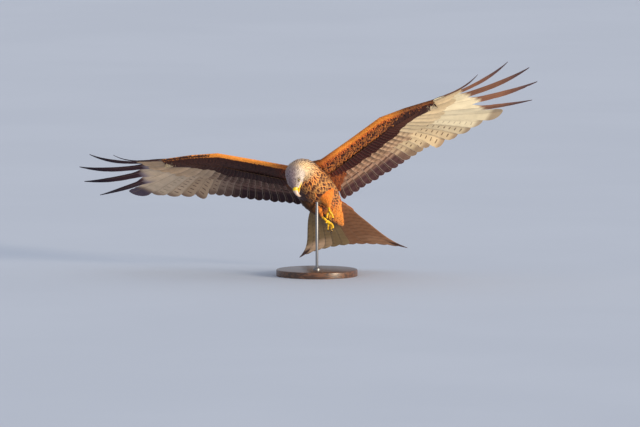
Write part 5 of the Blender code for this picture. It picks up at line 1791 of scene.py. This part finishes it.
# %% Bill, cere and gape
UPPER_BILL = (
    (0.0323, 0.0036, 0.0108, 0.0088),
    (0.0395, 0.0032, 0.0097, 0.0084),
    (0.0470, 0.0002, 0.0077, 0.0078),
    (0.0540, -0.0065, 0.0056, 0.0064),
    (0.0567, -0.0152, 0.0033, 0.0045),
    (0.0549, -0.0235, 0.0010, 0.0014),
)
LOWER_BILL = (
    (0.0323, -0.0091, 0.0090, 0.0034),
    (0.0390, -0.0096, 0.0074, 0.0030),
    (0.0450, -0.0114, 0.0048, 0.0024),
    (0.0485, -0.0128, 0.0018, 0.0011),
)
NOSTRIL = np.array((0.0380, 0.0093, 0.0052))
NOSTRIL_LONG, NOSTRIL_HIGH, NOSTRIL_DEEP, NOSTRIL_INSIDE = 0.0018, 0.0012, 0.0022, 0.004
CERE_END = 0.0445
GAPE = (
    (0.0345, 0.0094, -0.0056),
    (0.0270, 0.0130, -0.0068),
    (0.0180, 0.0178, -0.0084),
    (0.0075, 0.0220, -0.0102),
)
HORN_PALE = seen(206, 178, 158)
HORN_DARK = seen(70, 60, 58)
CERE_YELLOW = seen(248, 204, 40)


def bill_half(rows, count, sides, ridge):
    """Sections on a bent line. The half width narrows towards the top by the ridge's share."""
    table = smooth_rows(rows, count)
    path = table[:, :2]
    run = np.gradient(path, axis=0)
    run[0] = (1.0, 0.0)
    run = unit(run)
    angle = turns(sides)
    narrow = 1 - ridge * np.clip(np.sin(angle), 0, 1) ** 2
    side = table[:, 2:3] * np.cos(angle) * narrow
    rise = table[:, 3:4] * np.sin(angle)
    step = np.where(table[:, 0] < CERE_END, 1.05, 1.0)[:, None]
    along = table[:, 0:1] - rise * run[:, 1:2] * step
    above = table[:, 1:2] + rise * run[:, 0:1] * step
    return layers(along, side * step, above)


def bill_colours(points, tip_from, tip_to):
    """Cere yellow, then horn, darker towards the tip, and painted shade inside the nostrils."""
    sunk = np.linalg.norm((points * (1, 0, 1)) - NOSTRIL * (1, 0, 1), axis=-1)
    cere = eased((CERE_END - points[..., 0]) / 0.0016 + 0.5)
    horn = mix(HORN_PALE, HORN_DARK, eased((-points[..., 2] - tip_from) / (tip_to - tip_from)) * 0.75)
    colour = mix(horn, CERE_YELLOW, cere)
    # Painted shade in the nostrils' hollows.
    hole = soft(sunk, 0.0017, -0.0006) * (np.abs(points[..., 1]) > NOSTRIL_INSIDE)
    return mix(colour, seen(40, 26, 20), hole)


def horn_finish():
    """Layered horn: the points' own colour, streaked along the bill, and smooth."""
    look = Look("bill_horn", 0.28, Coat_Weight=0.25, Coat_Roughness=0.2, Specular_IOR_Level=0.45)
    streaks = look.noise(260.0, 4.0)
    shade = look.blend(look.ramp(streaks, 0.35, 0.7), (0.86, 0.86, 0.86), (1.08, 1.08, 1.08))
    colour = look.blend(1.0, look.attribute("ground"), shade, "MULTIPLY")
    return look.done(colour, streaks, 0.2, 0.0002)


HORN = horn_finish()
above, below = bill_half(UPPER_BILL, 44, 36, 0.22), bill_half(LOWER_BILL, 24, 28, 0.0)
along, upward = (above[..., 0] - NOSTRIL[0]) / NOSTRIL_LONG, (above[..., 2] - NOSTRIL[2]) / NOSTRIL_HIGH
dip = np.exp(-(along**2 + upward**2)) * NOSTRIL_DEEP * (np.abs(above[..., 1]) > NOSTRIL_INSIDE)
above[..., 1] -= np.sign(above[..., 1]) * dip
for name, rings, solid, tip in (
    ("bill_above", above, "bill_upper", (0.008, 0.024)),
    ("bill_below", below, "bill_lower", (0.012, 0.02)),
):
    points, faces = closed_tube(rings)
    carried = {"ground": bill_colours(points, *tip)}
    add_piece(name, to_world(in_head(points)), faces, [HORN], "horn", (solid,), carried)


def tube_rings(path, radius, sides):
    """Circles of a changing radius carried along a path, without twist."""
    run = unit(np.gradient(path, axis=0))
    start = unit(np.cross(run[0], run[-1] + np.array((0.01, 0.02, 0.0))))
    across = unit(start - run * (run @ start)[:, None])
    above = np.cross(across, run)
    ring = circle(turns(sides), across[:, None], above[:, None])
    return path[:, None] + ring * np.asarray(radius)[:, None, None]


for label, side in SIDES.items():
    path = in_head(smooth_rows(mirrored(GAPE, side), 22))
    radius = 0.0030 * np.sin(np.linspace(0.45, math.pi - 0.16, 22)) ** 0.7
    points, faces = closed_tube(tube_rings(path, radius, 12))
    add_piece("gape_" + label, to_world(points), faces, [YELLOW_SKIN], "yellow_skin")

# %% [markdown]
# ## Feet and claws
# Below the trousers each leg is a bare yellow shank with four curled toes, covered in
# ring-shaped scutes, and each toe ends in a black claw. A toe is a circle carried round an
# arc, with its radius raised in even steps for the scutes and pads. The claws are arcs too,
# that taper to a point. They are dark and glossy, and separate from the skin.

# %% Feet and claws
GAP = 0.0003
TOES = ((0.035, 36.0), (0.040, 0.0), (0.033, -36.0), (0.026, 180.0))
TOE_RADIUS, TOE_CURL = (0.0042, 0.0030), 100.0
CLAW_LENGTH, CLAW_RADIUS, CLAW_CURL = 0.018, 0.0026, 80.0
SHANK_RADII = (0.0050, 0.0042, 0.0056)
SHANK_STEPS, TOE_STEPS, CLAW_STEPS = 44, 40, 22
SHANK_INSIDE, TOE_INSIDE, HIND_CURL = 0.004, 0.001, 0.7


def arc_path(start, run, bend, length, turn, steps):
    """Points on an arc that starts along run and turns towards bend, and their directions."""
    angle = (math.radians(turn) * np.linspace(0, 1, steps))[:, None]
    radius = length / math.radians(turn)
    path = start + np.sin(angle) * radius * run + (1 - np.cos(angle)) * radius * bend
    return path, np.cos(angle) * run + np.sin(angle) * bend


def scutes(steps, count, height):
    """A factor for the radius that rises and drops count times, like overlapping rings."""
    phase = np.linspace(0, count, steps) % 1.0
    return 1 + height * (1 - phase) ** 0.5 - height * 0.5


def foot_parts(side):
    """The shank and toes as closed tubes, and the claws as closed tubes."""
    ankle, centre = mirrored(ANKLES[side], side), mirrored(FEET[side], side)
    run = unit(centre - ankle)
    share = np.linspace(0, 1, SHANK_STEPS)
    begin = ankle - run * SHANK_INSIDE
    path = begin + (centre + run * SHANK_INSIDE - begin) * share[:, None]
    radius = np.interp(share, (0, 0.5, 1), SHANK_RADII) * scutes(SHANK_STEPS, 9, 0.10)
    skin_parts, claw_parts = [closed_tube(tube_rings(path, radius, 16))], []
    down = unit(np.array((-0.25, 0.0, -1.0)))
    down = unit(down - run * (down @ run))
    sideways = np.cross(down, run)
    for length, splay in TOES:
        angle = math.radians(splay) * side
        way = run * math.cos(angle) + sideways * math.sin(angle)
        turn = TOE_CURL if splay != 180.0 else TOE_CURL * HIND_CURL
        path, ways = arc_path(centre - way * TOE_INSIDE, way, down, length, turn, TOE_STEPS)
        share = np.linspace(0, 1, TOE_STEPS)
        pads = 1 + 0.10 * np.sin(share * 3 * math.pi) ** 2
        radius = np.interp(share, (0, 1), TOE_RADIUS) * scutes(TOE_STEPS, 8, 0.12) * pads
        radius[-3:] *= (0.97, 0.88, 0.70)
        skin_parts.append(closed_tube(tube_rings(path, radius, 14)))
        bend = unit(np.cross(np.cross(ways[0], ways[-1]), ways[-1]))
        begin = path[-1] + ways[-1] * GAP
        path, ways = arc_path(begin, ways[-1], bend, CLAW_LENGTH, CLAW_CURL, CLAW_STEPS)
        radius = CLAW_RADIUS * (1 - 0.93 * np.linspace(0, 1, CLAW_STEPS) ** 1.3)
        claw_parts.append(closed_tube(tube_rings(path, radius, 12)))
    return skin_parts, claw_parts


look = Look("claw_horn", 0.22, Coat_Weight=0.3, Coat_Roughness=0.15)
streak = look.noise(500.0, 4.0)
colour = look.blend(streak, (0.010, 0.009, 0.009), (0.05, 0.042, 0.038))
claw_horn = look.done(colour, streak, 0.25, 0.0002)
for label, side in SIDES.items():
    skin_parts, claw_parts = foot_parts(side)
    points, faces = joined(skin_parts)
    add_piece("toes_" + label, to_world(points), faces, [YELLOW_SKIN], "yellow_skin", ("foot_" + label,))
    points, faces = joined(claw_parts)
    names = [f"claw_{label}_{number}" for number in range(1, 5)]
    add_piece("claws_" + label, to_world(points), faces, [claw_horn], "horn", names)

# %% [markdown]
# ## The stand
# The base is a turned disc of dark oiled wood and the rod is brushed steel with a small
# collar. Both are lathe work, so both are made as a profile of radius and height turned
# about an upright axis. The base's edges are softly rounded by quarter circles. The rod
# passes through the feathers of the belly and ends inside it.

# %% Turned base and rod
BASE_RADIUS, BASE_HEIGHT, BASE_EDGE, FOOT_EDGE = 0.150, 0.024, 0.004, 0.0015
ROD_RADIUS, COLLAR_RADIUS, COLLAR_HEIGHT = 0.005, 0.013, 0.010
ROD_PLACE = (0.0, -0.045)


def quarter(centre_radius, centre_height, size, start):
    """A quarter circle of a profile, from the start angle in degrees, turning to the left."""
    angle = np.radians(start + np.linspace(0, 90, 8))
    return layers(centre_radius + size * np.cos(angle), centre_height + size * np.sin(angle))


def turned(profile, sides, place=(0.0, 0.0)):
    """A profile of radius and height turned round an upright axis, closed at both ends."""
    turn, radius = turns(sides), profile[:, :1]
    x, y = place[0] + radius * np.cos(turn), place[1] + radius * np.sin(turn)
    return closed_tube(layers(x, y, profile[:, 1:]))


def wood_finish():
    """Rings of growth stretched along the grain, fine pores, and a thin coat of oil."""
    look = Look("oiled_wood", 0.38, Coat_Weight=0.25, Coat_Roughness=0.25)
    mapping = {"Vector": look.place(), "Scale": (2.0, 22.0, 22.0), "Rotation": (0.0, 0.1, 0.5)}
    broad = look.noise(2.2, 3.0, look.node("ShaderNodeMapping", mapping))
    rings = look.math("SINE", look.times(broad, 34.0))
    mapping["Scale"] = (30.0, 900.0, 900.0)
    pores = look.noise(1.0, 3.0, look.node("ShaderNodeMapping", mapping))
    colour = look.blend(look.ramp(rings, -0.8, 0.9), seen(66, 42, 28), seen(104, 68, 44))
    colour = look.blend(look.ramp(pores, 0.60, 0.72), colour, seen(40, 26, 18))
    return look.done(colour, pores, 0.25, 0.0003)


def steel_finish():
    """Brushed steel: very fine rings round the rod in roughness and bump."""
    look = Look("brushed_rod", 0.5, Metallic=1.0)
    mapping = {"Vector": look.place(), "Scale": (40.0, 40.0, 2500.0)}
    brush = look.noise(1.0, 2.0, look.node("ShaderNodeMapping", mapping))
    colour = look.blend(brush, (0.22, 0.22, 0.23), (0.32, 0.32, 0.33))
    return look.done(colour, brush, 0.15, 0.0001, look.ramp(brush, 0.2, 0.8, 0.42, 0.58))


base_profile = np.concatenate([
    quarter(BASE_RADIUS - FOOT_EDGE, FOOT_EDGE, FOOT_EDGE, -90),
    quarter(BASE_RADIUS - BASE_EDGE, BASE_HEIGHT - BASE_EDGE, BASE_EDGE, 0),
])
points, faces = turned(base_profile, 144)
add_piece("base_turned", points, faces, [wood_finish()], "stand_wood", ("stand_base",))

rod_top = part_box("stand_rod")[1].z - 0.001
foot = BASE_HEIGHT + GAP
top = foot + COLLAR_HEIGHT
rod_profile = np.concatenate([
    [(COLLAR_RADIUS, foot)],
    quarter(COLLAR_RADIUS - 0.002, top - 0.0045, 0.002, 0),
    [(ROD_RADIUS + 0.0018, top), (ROD_RADIUS, top + 0.001), (ROD_RADIUS, rod_top)],
])
points, faces = turned(rod_profile, 48, ROD_PLACE)
add_piece("rod_turned", points, faces, [steel_finish()], "stand_steel", ("stand_rod",))
